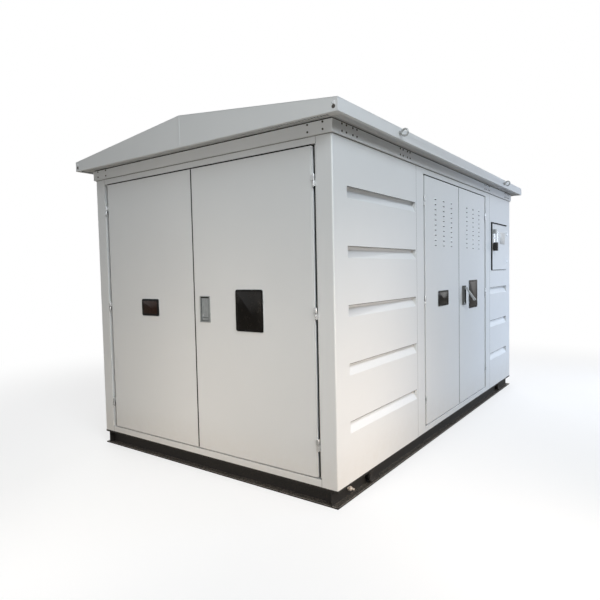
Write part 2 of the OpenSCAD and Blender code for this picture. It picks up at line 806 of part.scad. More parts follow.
// Half of a gable sheet with its folded lip, from the seam to the side fascia.
module gable_half() {
    z0 = base_h + fascia_z;
    y0 = -eave_y + sheet_t;
    y1 = -gable_seam / 2;
    translate([-gable_x, 0, 0]) {
        rotate([90, 0, 90]) linear_extrude(sheet_t)
            polygon([[y0, z0 + sheet_t], [-eave_y + lip_w, z0 + sheet_t], [-eave_y + lip_w, z0],
                [y1, z0], [y1, under_roof(y1) - fit], [y0, under_roof(y0) - fit]]);
        block([0, -eave_y + lip_w, z0], [lip_w, y1, z0 + sheet_t]);
    }
}

module gables() {
    color(steel_white) for (side = [0, 1], end = [0, 1])
        mirror([end, 0, 0]) mirror([0, side, 0]) gable_half();
}

// A flat strip over the seam of each gable, on its outer face.
module gable_seam_strips() {
    color(steel_white) for (end = [0, 1]) mirror([end, 0, 0])
        block([-gable_x - seam_strip_t, -seam_strip_w / 2, base_h + fascia_z],
            [-gable_x, seam_strip_w / 2, under_roof(seam_strip_w / 2)]);
}

// Cross formers that stand on the cornice and carry the roof sheets.
module roof_formers() {
    z0 = base_h + wall_top + sheet_t;
    y0 = body_w / 2 - wall_t / 2;
    color(steel_white) for (i = [-1, 0, 1])
        translate([i * body_l / 3 - former_t / 2, 0, 0]) rotate([90, 0, 90]) linear_extrude(former_t)
            polygon([[-y0, z0], [y0, z0], [y0, under_roof(y0) - fit], [0, under_roof(0) - fit],
                [-y0, under_roof(y0) - fit]]);
}

module roof_slope() {
    translate([-gable_x, 0, 0]) rotate([90, 0, 90]) linear_extrude(2 * gable_x)
        polygon([[-eave_y, under_roof(eave_y)], [0, under_roof(0)], [0, under_roof(0) + sheet_t],
            [-eave_y, under_roof(eave_y) + sheet_t]]);
}

module roof_front_slope() { color(steel_white) roof_slope(); }
module roof_back_slope() { color(steel_white) mirror([0, 1, 0]) roof_slope(); }

// Places something at both lifting eyes of the front fascia, on its outer face.
module at_eyes() {
    for (end = [-1, 1]) translate([end * (body_l / 2 - eye_inset), -eave_y, base_h + eye_z]) children();
}

eye_collar_d = 28;
eye_collar_t = 6;
eye_nut_d = 21;
eye_nut_t = 10;

// A lifting eye screwed through the fascia: ring outside, nut inside.
module lifting_eye() {
    rotate([90, 0, 0]) {
        cylinder(d = eye_collar_d, h = eye_collar_t);
        cylinder(d = eye_bar_d, h = eye_reach - eye_ring_d / 2);
        translate([0, 0, -sheet_t - eye_nut_t - clear])
            cylinder(d = eye_bar_d, h = sheet_t + eye_nut_t + clear);
        translate([0, 0, -sheet_t - eye_nut_t]) cylinder(d = eye_nut_d, h = eye_nut_t, $fn = 6);
    }
    translate([0, -eye_reach, 0]) rotate([0, 90, 0])
        rotate_extrude() translate([eye_ring_d / 2, 0]) circle(d = eye_bar_d);
}

module lifting_eyes() {
    color(zinc) for (side = [0, 1]) mirror([0, side, 0]) at_eyes() lifting_eye();
}

base_rails();
base_ends();
base_cross_members();
lifting_bosses();
earth_studs();
floor_plate();
corner_post_front_left();
corner_post_front_right();
corner_post_back_left();
corner_post_back_right();
left_end_rails();
right_end_rails();
front_rails();
back_rails();
front_jambs();
back_jambs();
front_panel_left();
front_panel_right();
back_panel_left();
back_panel_right();
left_end_door_front();
left_end_door_back();
right_end_doors();
front_door_left();
front_door_right();
back_doors();
meter_door();
end_door_stops();
side_door_stops();
meter_stop();
frame_hinge_halves();
left_end_hinges_front();
left_end_hinges_back();
front_hinges_left();
front_hinges_right();
meter_hinges();
fixed_door_hinges();
sight_plate();
end_plate();
front_plate();
tall_plate();
paddle_lock();
lock_paddle();
handle_base();
handle_hub();
handle_lever();
meter_hasp();
padlock_shackle();
padlock_body();
cornice_sides();
cornice_ends();
soffit();
fascias();
gables();
gable_seam_strips();
roof_formers();
roof_front_slope();
roof_back_slope();
lifting_eyes();
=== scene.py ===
import bpy
import json
from contextlib import contextmanager
from math import pi, radians
from mathutils import Matrix, Vector


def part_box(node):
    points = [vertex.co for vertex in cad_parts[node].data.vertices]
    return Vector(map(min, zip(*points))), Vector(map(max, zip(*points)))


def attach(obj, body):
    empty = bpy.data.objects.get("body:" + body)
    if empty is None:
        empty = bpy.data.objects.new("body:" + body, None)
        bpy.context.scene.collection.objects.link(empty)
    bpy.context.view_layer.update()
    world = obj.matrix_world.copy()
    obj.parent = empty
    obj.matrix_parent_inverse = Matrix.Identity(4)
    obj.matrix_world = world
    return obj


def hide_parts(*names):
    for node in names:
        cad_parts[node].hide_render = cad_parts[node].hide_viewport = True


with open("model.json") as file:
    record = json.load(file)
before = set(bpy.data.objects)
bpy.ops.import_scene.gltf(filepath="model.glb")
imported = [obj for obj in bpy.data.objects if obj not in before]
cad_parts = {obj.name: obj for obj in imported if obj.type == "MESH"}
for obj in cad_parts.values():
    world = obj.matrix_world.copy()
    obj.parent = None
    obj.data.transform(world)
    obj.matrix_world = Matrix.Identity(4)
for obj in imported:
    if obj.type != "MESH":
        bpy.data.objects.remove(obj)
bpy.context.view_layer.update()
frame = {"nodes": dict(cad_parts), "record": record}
nodes = frame["nodes"]
scene = bpy.context.scene
mm = 0.001
foldAngle, turnedAngle = 40, 50    # edges sharper than this are rounded, on folded and on turned pieces
facing = 0.9                       # a face counts as facing a way when its normal points this far along it
weldWithin = 0.01 * mm             # points closer than this are one


def hexToLinear(hexText):
    # sRGB hex to the linear values that the shaders use
    channels = [int(hexText[i:i + 2], 16) / 255 for i in (0, 2, 4)]
    return tuple(c / 12.92 if c <= 0.04045 else ((c + 0.055) / 1.055) ** 2.4 for c in channels) + (1.0,)


def deselectAll():
    if bpy.context.object and bpy.context.object.mode != "OBJECT":
        bpy.ops.object.mode_set(mode="OBJECT")
    bpy.ops.object.select_all(action="DESELECT")


def makeActive(piece):
    deselectAll()
    piece.select_set(True)
    bpy.context.view_layer.objects.active = piece


def applyPlace(piece):
    makeActive(piece)
    bpy.ops.object.transform_apply(location=True, rotation=True, scale=True)


def namePiece(name):
    piece = bpy.context.object
    piece.name = piece.data.name = name
    return piece


def addBlock(name, low, high):
    deselectAll()
    low, high = Vector(low), Vector(high)
    bpy.ops.mesh.primitive_cube_add(size=1, location=(low + high) / 2)
    piece = namePiece(name)
    piece.scale = high - low
    applyPlace(piece)
    return piece


def addRound(name, middle, radius, depth, axis, sides, soften=0, segments=2):
    # a cylinder with its middle at a point, its axis along X, Y or Z, and softened edges unless that's 0
    deselectAll()
    turn = {"X": (0, pi / 2, 0), "Y": (pi / 2, 0, 0), "Z": (0, 0, 0)}[axis]
    bpy.ops.mesh.primitive_cylinder_add(
        vertices=sides, radius=radius, depth=depth, location=middle, rotation=turn)
    piece = namePiece(name)
    applyPlace(piece)
    if soften:
        roundEdges(piece, soften, segments, turnedAngle)
    return piece


def addPlane(name, middle, size, turn=(0, 0, 0)):
    deselectAll()
    bpy.ops.mesh.primitive_plane_add(size=1, location=middle, rotation=turn)
    piece = namePiece(name)
    piece.scale = (size[0], size[1], 1)
    applyPlace(piece)
    return piece


def addSheet(name, span, out):
    # a flat sheet that faces -Y; a span is its left foot and its right head
    (left, foot), (right, head) = span
    middle = ((left + right) / 2, -out, (foot + head) / 2)
    return addPlane(name, middle, (right - left, head - foot), (pi / 2, 0, 0))


@contextmanager
def editing(piece, wanted=None):
    # opens the piece in edit mode with the wanted faces selected, or all of them, and closes it after
    makeActive(piece)
    bpy.ops.object.mode_set(mode="EDIT")
    bpy.ops.mesh.select_mode(type="FACE")
    bpy.ops.mesh.select_all(action="DESELECT")
    bpy.ops.object.mode_set(mode="OBJECT")
    for face in piece.data.polygons:
        face.select = wanted is None or wanted(face.center, face.normal)
    bpy.ops.object.mode_set(mode="EDIT")
    yield
    bpy.ops.object.mode_set(mode="OBJECT")


def cutAt(piece, places):
    # bisects the whole mesh at each (axis, place) and keeps both sides
    with editing(piece):
        for axis, place in places:
            bpy.ops.mesh.select_all(action="SELECT")
            bpy.ops.mesh.bisect(
                plane_co=[place if i == axis else 0 for i in range(3)],
                plane_no=[1 if i == axis else 0 for i in range(3)])


def trimAt(piece, point, normal):
    # bisects the mesh and throws away what lies past the plane
    with editing(piece):
        bpy.ops.mesh.bisect(plane_co=point, plane_no=normal, clear_outer=True)


def extrudeFaces(piece, move, wanted=None):
    with editing(piece, wanted):
        bpy.ops.mesh.extrude_region_move(TRANSFORM_OT_translate={"value": move})


def sinkFaces(piece, wanted, border, move):
    # insets the wanted faces by a border and moves the middle
    with editing(piece, wanted):
        bpy.ops.mesh.inset(thickness=border, depth=0)
        bpy.ops.mesh.extrude_region_move(TRANSFORM_OT_translate={"value": move})


def dropFaces(piece, wanted):
    with editing(piece, wanted):
        bpy.ops.mesh.delete(type="FACE")


def roundCorners(piece, radius, segments, wanted=None):
    # rounds the corners of flat faces
    with editing(piece, wanted):
        bpy.ops.mesh.bevel(offset=radius, segments=segments, affect="VERTICES")


def weldPoints(piece):
    with editing(piece):
        bpy.ops.mesh.remove_doubles(threshold=weldWithin)


def faceOutwards(piece):
    weldPoints(piece)
    with editing(piece):
        bpy.ops.mesh.normals_make_consistent(inside=False)


def addModifier(piece, kind, settings):
    modifier = piece.modifiers.new(kind.title(), kind)
    for key, value in settings.items():
        setattr(modifier, key, value)
    return modifier


def applyModifier(piece, kind, settings):
    makeActive(piece)
    modifier = addModifier(piece, kind, settings)
    bpy.ops.object.modifier_apply(modifier=modifier.name)


def bevelOf(width, segments, angle):
    return {"width": width, "segments": segments, "limit_method": "ANGLE", "angle_limit": radians(angle)}


def smoothPast(piece, angle):
    makeActive(piece)
    bpy.ops.object.shade_smooth_by_angle(angle=radians(angle))


def roundEdges(piece, width, segments=2, angle=foldAngle):
    applyModifier(piece, "BEVEL", bevelOf(width, segments, angle))
    smoothPast(piece, angle)


def repeatAlong(piece, step, count):
    applyModifier(piece, "ARRAY", {
        "count": count, "use_relative_offset": False,
        "use_constant_offset": True, "constant_offset_displace": step})


def joinPieces(name, pieces):
    deselectAll()
    for piece in pieces:
        piece.select_set(True)
    bpy.context.view_layer.objects.active = pieces[0]
    if len(pieces) > 1:
        bpy.ops.object.join()
    return namePiece(name)


def repeatAt(name, piece, places):
    # copies the modelled piece to each place, removes the pattern piece and joins the copies
    twins = []
    for place in places:
        makeActive(piece)
        bpy.ops.object.duplicate()
        twin = namePiece(name)
        twin.location = place
        applyPlace(twin)
        twins.append(twin)
    bpy.data.objects.remove(piece)
    return joinPieces(name, twins)


def addNode(tree, kind, settings={}, links={}):
    # settings are input values and properties, and a ramp's stops with their colours
    node = tree.nodes.new("ShaderNode" + kind)
    for key, value in settings.items():
        if key == "stops":
            for element, (position, colour) in zip(node.color_ramp.elements, value):
                element.position = position
                element.color = hexToLinear(colour)
        elif isinstance(key, int) or key in node.inputs:
            node.inputs[key].default_value = value
        else:
            setattr(node, key, value)
    for key, source in links.items():
        tree.links.new(source, node.inputs[key])
    return node


def startMaterial(name, settings):
    material = bpy.data.materials.new(name)
    material.use_nodes = True
    tree = material.node_tree
    shader = tree.nodes["Principled BSDF"]
    for key, value in settings.items():
        shader.inputs[key].default_value = value
    coords = addNode(tree, "TexCoord")
    return material, tree, shader, coords.outputs["Object"]


def dress(tree, shader, colour, roughness, normal):
    for socket, source in (("Base Color", colour), ("Roughness", roughness), ("Normal", normal)):
        tree.links.new(source, shader.inputs[socket])


paint = {
    # dust is the warm tone at the walls' foot: real dust, and painted warm bounce light from the ground
    "colour": "DADDDF", "shade": "D3D6D8", "dust": "C4B8A8", "roughness": (0.36, 0.48),
    "cloud": 1400 * mm,        # slow drift of tone from oven and sprayer
    "peel": 9 * mm,            # orange peel of powder coat, real 2 mm, drawn coarse to show
    "panel": 520 * mm,         # slight waves that thin sheet has between its folds
    "dustSize": 60 * mm, "dustTop": 0.42, "dustFoot": 0.11, "dustShare": 0.34,
}


def makePaint():
    # polyester powder coat on folded sheet steel: pale cool grey, semi-gloss, a little uneven
    material, tree, shader, place = startMaterial("powderCoatedSheetSteel", {"Metallic": 0.0, "IOR": 1.5})
    cloud = addNode(tree, "TexNoise", {"Scale": 1 / paint["cloud"], "Detail": 3.0}, {"Vector": place})
    tone = addNode(tree, "ValToRGB", {"stops": ((0.3, paint["shade"]), (0.7, paint["colour"]))}, {
        "Fac": cloud.outputs["Fac"]})
    # a warm speckled tone fades out over the lowest part of the walls: dust splashed up from the ground, and
    # painted warm light bounced up from the ground
    split = addNode(tree, "SeparateXYZ", {}, {"Vector": place})
    dustAndBounceRise = addNode(tree, "MapRange", {
        "From Min": paint["dustFoot"], "From Max": paint["dustTop"], "To Min": paint["dustShare"],
        "To Max": 0.0, "interpolation_type": "SMOOTHSTEP"}, {"Value": split.outputs["Z"]})
    speck = addNode(tree, "TexNoise", {
        "Scale": 1 / paint["dustSize"], "Detail": 6.0, "Roughness": 0.7}, {"Vector": place}).outputs["Fac"]
    dust = addNode(tree, "Math", {"operation": "MULTIPLY"}, {0: dustAndBounceRise.outputs["Result"], 1: speck})
    dusty = addNode(tree, "Mix", {"data_type": "RGBA", 7: hexToLinear(paint["dust"])}, {
        0: dust.outputs["Value"], 6: tone.outputs["Color"]})
    gloss = addNode(tree, "MapRange", {
        "From Min": 0.3, "From Max": 0.7, "To Min": paint["roughness"][0], "To Max": paint["roughness"][1]}, {
        "Value": speck})
    panel = addNode(tree, "TexNoise", {"Scale": 1 / paint["panel"], "Detail": 1.0}, {"Vector": place})
    waves = addNode(tree, "Bump", {"Strength": 0.35, "Distance": 3 * mm}, {"Height": panel.outputs["Fac"]})
    peel = addNode(tree, "TexNoise", {"Scale": 1 / paint["peel"], "Detail": 2.0}, {"Vector": place})
    skin = addNode(tree, "Bump", {"Strength": 0.05, "Distance": 0.4 * mm}, {
        "Height": peel.outputs["Fac"], "Normal": waves.outputs["Normal"]})
    dress(tree, shader, dusty.outputs[2], gloss.outputs["Result"], skin.outputs["Normal"])
    return material


enamel = {
    "colour": "0D0C0B", "worn": "191715", "dust": "7A7268", "rust": "43281B", "roughness": (0.5, 0.85),
    "patch": 160 * mm, "grit": 7 * mm, "scale": 14 * mm,
}


def makeEnamel():
    # brushed black enamel on hot rolled channel: matt, with grey-brown dust and a little rust
    material, tree, shader, place = startMaterial("blackEnamelOnRolledSteel", {
        "Metallic": 0.0, "Specular IOR Level": 0.35})
    patch = addNode(tree, "TexNoise", {
        "Scale": 1 / enamel["patch"], "Detail": 5.0, "Roughness": 0.65}, {"Vector": place}).outputs["Fac"]
    tone = addNode(tree, "ValToRGB", {"stops": ((0.35, enamel["colour"]), (0.75, enamel["worn"]))}, {
        "Fac": patch})
    grit = addNode(tree, "TexNoise", {
        "Scale": 1 / enamel["grit"], "Detail": 4.0, "Roughness": 0.7}, {"Vector": place}).outputs["Fac"]
    # dust lies in flecks on what faces up
    face = addNode(tree, "NewGeometry")
    up = addNode(tree, "SeparateXYZ", {}, {"Vector": face.outputs["Normal"]})
    ledge = addNode(tree, "MapRange", {
        "From Min": 0.2, "From Max": 0.9, "To Min": 0.04, "To Max": 0.62}, {"Value": up.outputs["Z"]})
    fleck = addNode(tree, "MapRange", {
        "From Min": 0.46, "From Max": 0.68, "To Min": 0.0, "To Max": 1.6}, {"Value": grit})
    dust = addNode(tree, "Math", {"operation": "MULTIPLY", "use_clamp": True}, {
        0: ledge.outputs["Result"], 1: fleck.outputs["Result"]})
    dusty = addNode(tree, "Mix", {"data_type": "RGBA", 7: hexToLinear(enamel["dust"])}, {
        0: dust.outputs["Value"], 6: tone.outputs["Color"]})
    rustPlace = addNode(tree, "MapRange", {
        "From Min": 0.62, "From Max": 0.72, "To Min": 0.0, "To Max": 0.6}, {"Value": grit})
    rusty = addNode(tree, "Mix", {"data_type": "RGBA", 7: hexToLinear(enamel["rust"])}, {
        0: rustPlace.outputs["Result"], 6: dusty.outputs[2]})
    gloss = addNode(tree, "MapRange", {
        "To Min": enamel["roughness"][0], "To Max": enamel["roughness"][1]}, {"Value": patch})
    scale = addNode(tree, "TexNoise", {"Scale": 1 / enamel["scale"], "Detail": 4.0}, {"Vector": place})
    skin = addNode(tree, "Bump", {"Strength": 0.25, "Distance": 1 * mm}, {"Height": scale.outputs["Fac"]})
    dress(tree, shader, rusty.outputs[2], gloss.outputs["Result"], skin.outputs["Normal"])
    return material


metalLook = {
    "noise": {"Detail": 5.0, "Roughness": 0.6}, "span": (0.32, 0.68),
    "skin": {"Strength": 0.12, "Distance": 0.3 * mm}}
darkLook = {
    "noise": {"Detail": 6.0, "Roughness": 0.65}, "span": (0.4, 0.75),
    "skin": {"Strength": 0.08, "Distance": 0.3 * mm}}


def makeSkin(name, settings, look, colours, roughness, grain, stretch=1):
    # two tones along a grain: stretch draws the noise out along Z as brushing or die marks do
    material, tree, shader, place = startMaterial(name, settings)
    drawn = addNode(tree, "Mapping", {"Scale": (1, 1, 1 / stretch)}, {"Vector": place})
    noise = addNode(tree, "TexNoise", {"Scale": 1 / grain, **look["noise"]}, {
        "Vector": drawn.outputs["Vector"]}).outputs["Fac"]
    tone = addNode(tree, "ValToRGB", {"stops": zip(look["span"], colours)}, {"Fac": noise})
    gloss = addNode(tree, "MapRange", {
        "From Min": 0.3, "From Max": 0.7, "To Min": roughness[0], "To Max": roughness[1]}, {"Value": noise})
    skin = addNode(tree, "Bump", look["skin"], {"Height": noise})
    dress(tree, shader, tone.outputs["Color"], gloss.outputs["Result"], skin.outputs["Normal"])
    return material


def makeMetal(name, light, dark, metallic, roughness, grain, stretch):
    return makeSkin(name, {"Metallic": metallic}, metalLook, (dark, light), roughness, grain, stretch)


def makeDark(name, colour, worn, roughness, grain, specular):
    # a dark moulded, cast or coated skin with faint dusty bloom
    return makeSkin(name, {"Metallic": 0.0, "Specular IOR Level": specular}, darkLook,
            (colour, worn), roughness, grain)


cabinetPaint = makePaint()
blackEnamel = makeEnamel()
# bright passivated zinc on pressed steel: pale, cloudy, with a blue cast
zincPlate = makeMetal("zincPlatedSteel", "D2D5D7", "A4A8AB", 0.7, (0.28, 0.42), 12 * mm, 1)
# die cast zinc alloy under satin lacquer: soft grey with slow sheen
zincCast = makeMetal("satinZincDieCasting", "A9AEAF", "8C9192", 0.7, (0.32, 0.45), 9 * mm, 3)
# bare zinc casting gone dull outdoors: mid grey, blotched
agedCast = makeMetal("weatheredZincCasting", "6B6E6E", "4C4E4E", 0.6, (0.40, 0.55), 9 * mm, 2)
# chromed steel bar: bright, with fine draw marks along it
chromeBar = makeMetal("chromedSteelBar", "E6E8E9", "C4C8CA", 1.0, (0.10, 0.22), 6 * mm, 6)
# hot dip zinc on forged steel: spangled light grey
dipZinc = makeMetal("hotDipZincOnForging", "B4B6B6", "8A8D8E", 0.75, (0.35, 0.55), 7 * mm, 1)
# bare aluminium sheet: fine rolled grain
plainSheet = makeMetal("rolledAluminiumSheet", "C9CDD0", "B2B7BA", 0.8, (0.30, 0.42), 5 * mm, 8)
# tinned brass: nearly white, with copper brown where the tin is thin
brassTurned = makeMetal("tinnedBrassWithCopperShowing", "F4F2EE", "CDBBAA", 0.6, (0.25, 0.45), 8 * mm, 1)
# black oxide on cold formed screws: dark, slightly oily
blackOxide = makeMetal("blackOxideSteel", "57534E", "35322F", 0.5, (0.4, 0.6), 5 * mm, 1)
# grey-brown, patchy strip along an edge: painted highlight of the flanges' edges
flangeEdgeHighlight = makeMetal("rubbedSteelEdge", "A39C93", "5E5750", 0.3, (0.45, 0.65), 30 * mm, 1)
# cast acrylic tinted black: near mirror smooth, nearly no texture of its own
blackAcrylic = makeDark("blackCastAcrylic", "0E0D0C", "15120F", (0.20, 0.30), 40 * mm, 0.22)
# smoked acrylic: near black, a touch lighter than its frame
smokedWindow = makeDark("smokedAcrylic", "1D1B19", "2B2825", (0.16, 0.26), 22 * mm, 0.25)
# acrylic window with a film of dust: warm dark grey
dustyWindow = makeDark("dustyAcrylicWindow", "2B2925", "3B3732", (0.3, 0.45), 60 * mm, 0.25)
# brown tinted window, moulded: a shade lighter than its frame
tintedWindow = makeDark("tintedPolycarbonate", "241812", "33211A", (0.18, 0.28), 16 * mm, 0.25)
# extruded EPDM rubber: dead black with a grey bloom
sealRubber = makeDark("extrudedRubberSeal", "141413", "24231F", (0.7, 0.85), 12 * mm, 0.2)
# nylon coated padlock case: satin black
nylonCoat = makeDark("nylonCoatedCase", "191817", "2A2826", (0.4, 0.55), 9 * mm, 0.4)
# dark grey, matt strip under the pressed ribs: painted shade under each rib's ledge
ribLedgeShade = makeDark("weatheredDarkSealant", "353533", "4A4946", (0.6, 0.75), 15 * mm, 0.3)
# neutral cure sealant in the joints: mid grey, matt
greySealant = makeDark("curedJointSealant", "7C7E7D", "959796", (0.6, 0.75), 15 * mm, 0.3)

slotMaterials = {
    "cabinet_paint": cabinetPaint, "base_paint": blackEnamel, "hinge_steel": zincPlate,
    "lock_metal": zincCast, "earth_brass": brassTurned, "gloss_panel": blackAcrylic,
    "padlock_black": nylonCoat, "galvanised": dipZinc}
nodeMaterials = {"padlock_shackle": chromeBar, "handle_base": agedCast}
# width of the rounded edge that each kind of node gets: folded sheet, rolled channel, small castings
edgeWidths = {
    "cabinet_paint": 1.2 * mm, "base_paint": 1.5 * mm, "hinge_steel": 0.4 * mm, "lock_metal": 0.8 * mm,
    "earth_brass": 0.5 * mm, "gloss_panel": 0.8 * mm, "padlock_black": 2.5 * mm}
for part in frame["record"]["subparts"]:
    name, slot = part["node"], part["material_slot"]
    node = nodes[name]
    node.data.materials.clear()
    node.data.materials.append(nodeMaterials.get(name, slotMaterials[slot]))
    if slot in edgeWidths and name != "padlock_shackle":
        addModifier(node, "WELD", {"merge_threshold": weldWithin})
        addModifier(node, "BEVEL", bevelOf(edgeWidths[slot], 2, foldAngle))
print("materials on", len(nodes), "nodes")

jambLow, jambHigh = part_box("front_jambs")
railLow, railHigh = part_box("left_end_rails")
sideFace, endFace = -jambLow.y, -railLow.x     # distance of the wall faces from the middle
wallTurn = {"front": 0, "back": 180, "leftEnd": -90, "rightEnd": 90}
faceOut = {"front": sideFace, "back": sideFace, "leftEnd": endFace, "rightEnd": endFace}
halfWall = {"front": endFace, "back": endFace, "leftEnd": sideFace, "rightEnd": sideFace}
joints = {joint["name"]: Vector(joint["pos_m"]) for joint in frame["record"]["behaviour"]["joints"]}


def turnToWall(piece, wall):
    # pieces are modelled on the front wall, facing -Y, and turned to their own wall
    piece.rotation_euler = (0, 0, radians(wallTurn[wall]))
    applyPlace(piece)
    return piece


# a piece is rubber on the enclosure unless it's told otherwise
def finishPiece(piece, body="enclosure", slot="padlock_black", material=sealRubber):
    applyPlace(piece)
    piece.data.materials.clear()
    piece.data.materials.append(material)
    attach(piece, body)


def hangOn(piece, wall, body="enclosure", slot="padlock_black", material=sealRubber):
    finishPiece(turnToWall(piece, wall), body, slot, material)


def addStrip(name, wall, low, high, soften, body="enclosure", slot="padlock_black", material=sealRubber,
        segments=2):
    strip = addBlock(name, low, high)
    roundEdges(strip, soften, segments)
    hangOn(strip, wall, body, slot, material)


def wallBox(node, wall):
    # a node's corners in its own wall's frame, which faces -Y: along the left end, right is -Y
    low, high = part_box(node)
    if wall == "leftEnd":
        return Vector((-high.y, low.x, low.z)), Vector((-low.y, high.x, high.z))
    return low, high


def wallSpan(node, wall):
    low, high = wallBox(node, wall)
    return (low.x, low.z), (high.x, high.z)


def mirrorSpan(span):
    (left, foot), (right, head) = span
    return (-right, foot), (-left, head)


def widen(span, sides, below, above):
    (left, foot), (right, head) = span
    return (left - sides, foot - below), (right + sides, head + above)


leaves = {
    "frontLeft": wallSpan("front_door_left", "front"), "frontRight": wallSpan("front_door_right", "front"),
    "endFront": wallSpan("left_end_door_front", "leftEnd"),
    "endBack": wallSpan("left_end_door_back", "leftEnd")}
doorways = {}
for wall, mirrored, low, high in (("front", "back", leaves["frontLeft"][0], leaves["frontRight"][1]),
        ("leftEnd", "rightEnd", leaves["endBack"][0], leaves["endFront"][1])):
    # the fixed doors mirror the seen ones
    doorways[wall], doorways[mirrored] = (low, high), mirrorSpan((low, high))
leafFoot, leafHead = leaves["frontLeft"][0][1], leaves["frontLeft"][1][1]
leafFace, leafThick = 2 * mm, 30 * mm          # the leaves lie this far behind the wall faces
leafBack = leafFace + leafThick
leafGap = 8 * mm                               # between the leaves and the rails over and under them

sealShape = {"thick": 4.4 * mm, "clear": 0.5 * mm, "soften": 1.2 * mm}
# how far a seal reaches past its opening at the sides, below and above, and how far its inner edge lies in
doorSeal = {"past": (33 * mm, 7 * mm, 7 * mm), "border": (-49 * mm, -23 * mm, -23 * mm)}
meterSeal = {"past": (14 * mm, 6 * mm, 14 * mm), "border": (-30 * mm, -22 * mm, -30 * mm)}


def sealRing(name, wall, opening, seal, back):
    # a rubber ring round an opening, just behind the back of its leaf
    outer = widen(opening, *seal["past"])
    ring = addSheet(name, outer, back - sealShape["clear"])
    (left, foot), (right, head) = widen(outer, *seal["border"])
    cutAt(ring, [(0, left), (0, right), (2, foot), (2, head)])
    dropFaces(ring, lambda centre, normal: left < centre.x < right and foot < centre.z < head)
    extrudeFaces(ring, (0, sealShape["thick"], 0))
    faceOutwards(ring)
    roundEdges(ring, sealShape["soften"])
    hangOn(ring, wall)


for wall, doorway in doorways.items():
    sealRing(wall + "DoorSeal", wall, doorway, doorSeal, faceOut[wall] - leafBack)
meterLow, meterHigh = wallSpan("meter_door", "front")
meterFace, meterBack = [corner.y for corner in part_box("meter_door")]
sealRing("meterDoorSeal", "front", (meterLow, meterHigh), meterSeal, -meterBack)

# a black lipped strip on one leaf's edge closes most of the gap where two leaves meet: a rubber seal, and
# painted shade of the gap
meeting = {"width": 5.2 * mm, "front": 1.4 * mm, "back": 28 * mm, "short": 4 * mm, "soften": 1.5 * mm}
for name, wall, along, body in (
        ("frontMeetingSealShade", "front", leaves["frontLeft"][1][0], "front_door_left"),
        ("endMeetingSealShade", "leftEnd", leaves["endBack"][1][0], "left_end_door_back"),
        ("backMeetingSealShade", "back", -leaves["frontRight"][0][0], "enclosure"),
        ("rightEndMeetingSealShade", "rightEnd", -leaves["endFront"][0][0], "enclosure")):
    front, back = -faceOut[wall] + meeting["front"], -faceOut[wall] + meeting["back"]
    addStrip(name, wall, (along, front, leafFoot + meeting["short"]),
            (along + meeting["width"], back, leafHead - meeting["short"]),
            meeting["soften"], body)

# a rubber strip fills the gap over each pair of leaves, and the end leaves have a folded edge at their hinges
headStrip = {"proud": 0.5 * mm, "deep": 14 * mm, "above": (0.8 * mm, 7.2 * mm), "soften": 1.5 * mm}
for wall, (low, high) in doorways.items():
    addStrip(wall + "HeadStrip", wall,
            (low[0], -faceOut[wall] - headStrip["proud"], leafHead + headStrip["above"][0]),
            (high[0], -faceOut[wall] + headStrip["deep"], leafHead + headStrip["above"][1]),
            headStrip["soften"])
leafEdge = {"wide": 9 * mm, "post": 7.5 * mm, "deep": 14 * mm, "short": 3 * mm, "soften": 1.2 * mm}
foldFront = -endFace + leafFace
for name, place, wide in (("LeafEdgeFold", leaves["endFront"][1][0], leafEdge["wide"]),
        ("PostEdgeFold", -railLow.y - leafEdge["post"], leafEdge["post"])):
    for wall, turn in (("leftEnd", 1), ("rightEnd", -1)):
        near, far = sorted((turn * place, turn * (place + wide)))
        body = "left_end_door_front" if wall == "leftEnd" and name == "LeafEdgeFold" else "enclosure"
        addStrip(wall + name, wall, (near, foldFront, leafFoot + leafEdge["short"]),
                (far, foldFront + leafEdge["deep"], leafHead - leafEdge["short"]),
                leafEdge["soften"], body, "cabinet_paint", cabinetPaint)
print("seals")

louvre = {
    "width": 40 * mm, "height": 14 * mm, "proud": 7 * mm, "skin": 1.0 * mm, "segments": 20, "rings": 10,
    "columns": 3, "rows": 10, "across": 180 * mm, "down": 39.8 * mm,
    "top": 1.898,                          # height of the top row over the ground
    "aside": 14 * mm,                      # the fields sit this far to the right of each leaf's middle
    # the mouth is a black sheet in the slot under each scoop: painted shade
    "mouthBelow": 5 * mm, "mouthAbove": 5.6 * mm, "mouthRound": 4 * mm, "mouthOut": 0.2 * mm,
    "mouthThick": 0.15 * mm,
}


def louvreField(name, firstX, wall, body):
    # one scoop: half of a flattened ball, open below, pressed out of the leaf
    deselectAll()
    bpy.ops.mesh.primitive_uv_sphere_add(
        segments=louvre["segments"], ring_count=louvre["rings"], radius=0.5, rotation=(0, pi / 2, 0))
    scoop = namePiece(name)
    applyPlace(scoop)
    scoop.scale = (louvre["width"], 2 * louvre["proud"], 2 * louvre["height"])
    applyPlace(scoop)
    trimAt(scoop, (0, 0, 0), (0, 1, 0))
    trimAt(scoop, (0, 0, 0), (0, 0, -1))
    faceOutwards(scoop)
    applyModifier(scoop, "SOLIDIFY", {"thickness": louvre["skin"], "offset": -1})
    smoothPast(scoop, turnedAngle)
    # the mouth: a black sheet under the scoop's lip and behind it, painted shade of the slot
    half = louvre["width"] / 2 - 2 * louvre["skin"]
    mouthShade = addSheet(name + "Mouth", ((-half, -louvre["mouthBelow"]), (half, louvre["mouthAbove"])),
            louvre["mouthOut"])
    roundCorners(mouthShade, louvre["mouthRound"], 2)
    extrudeFaces(mouthShade, (0, louvre["mouthThick"], 0))
    faceOutwards(mouthShade)
    for piece, slot, material in ((scoop, "cabinet_paint", cabinetPaint),
            (mouthShade, "padlock_black", sealRubber)):
        piece.location = (firstX, -faceOut[wall] + leafFace, louvre["top"])
        applyPlace(piece)
        repeatAlong(piece, (louvre["across"], 0, 0), louvre["columns"])
        repeatAlong(piece, (0, 0, -louvre["down"]), louvre["rows"])
        hangOn(piece, wall, body, slot, material)


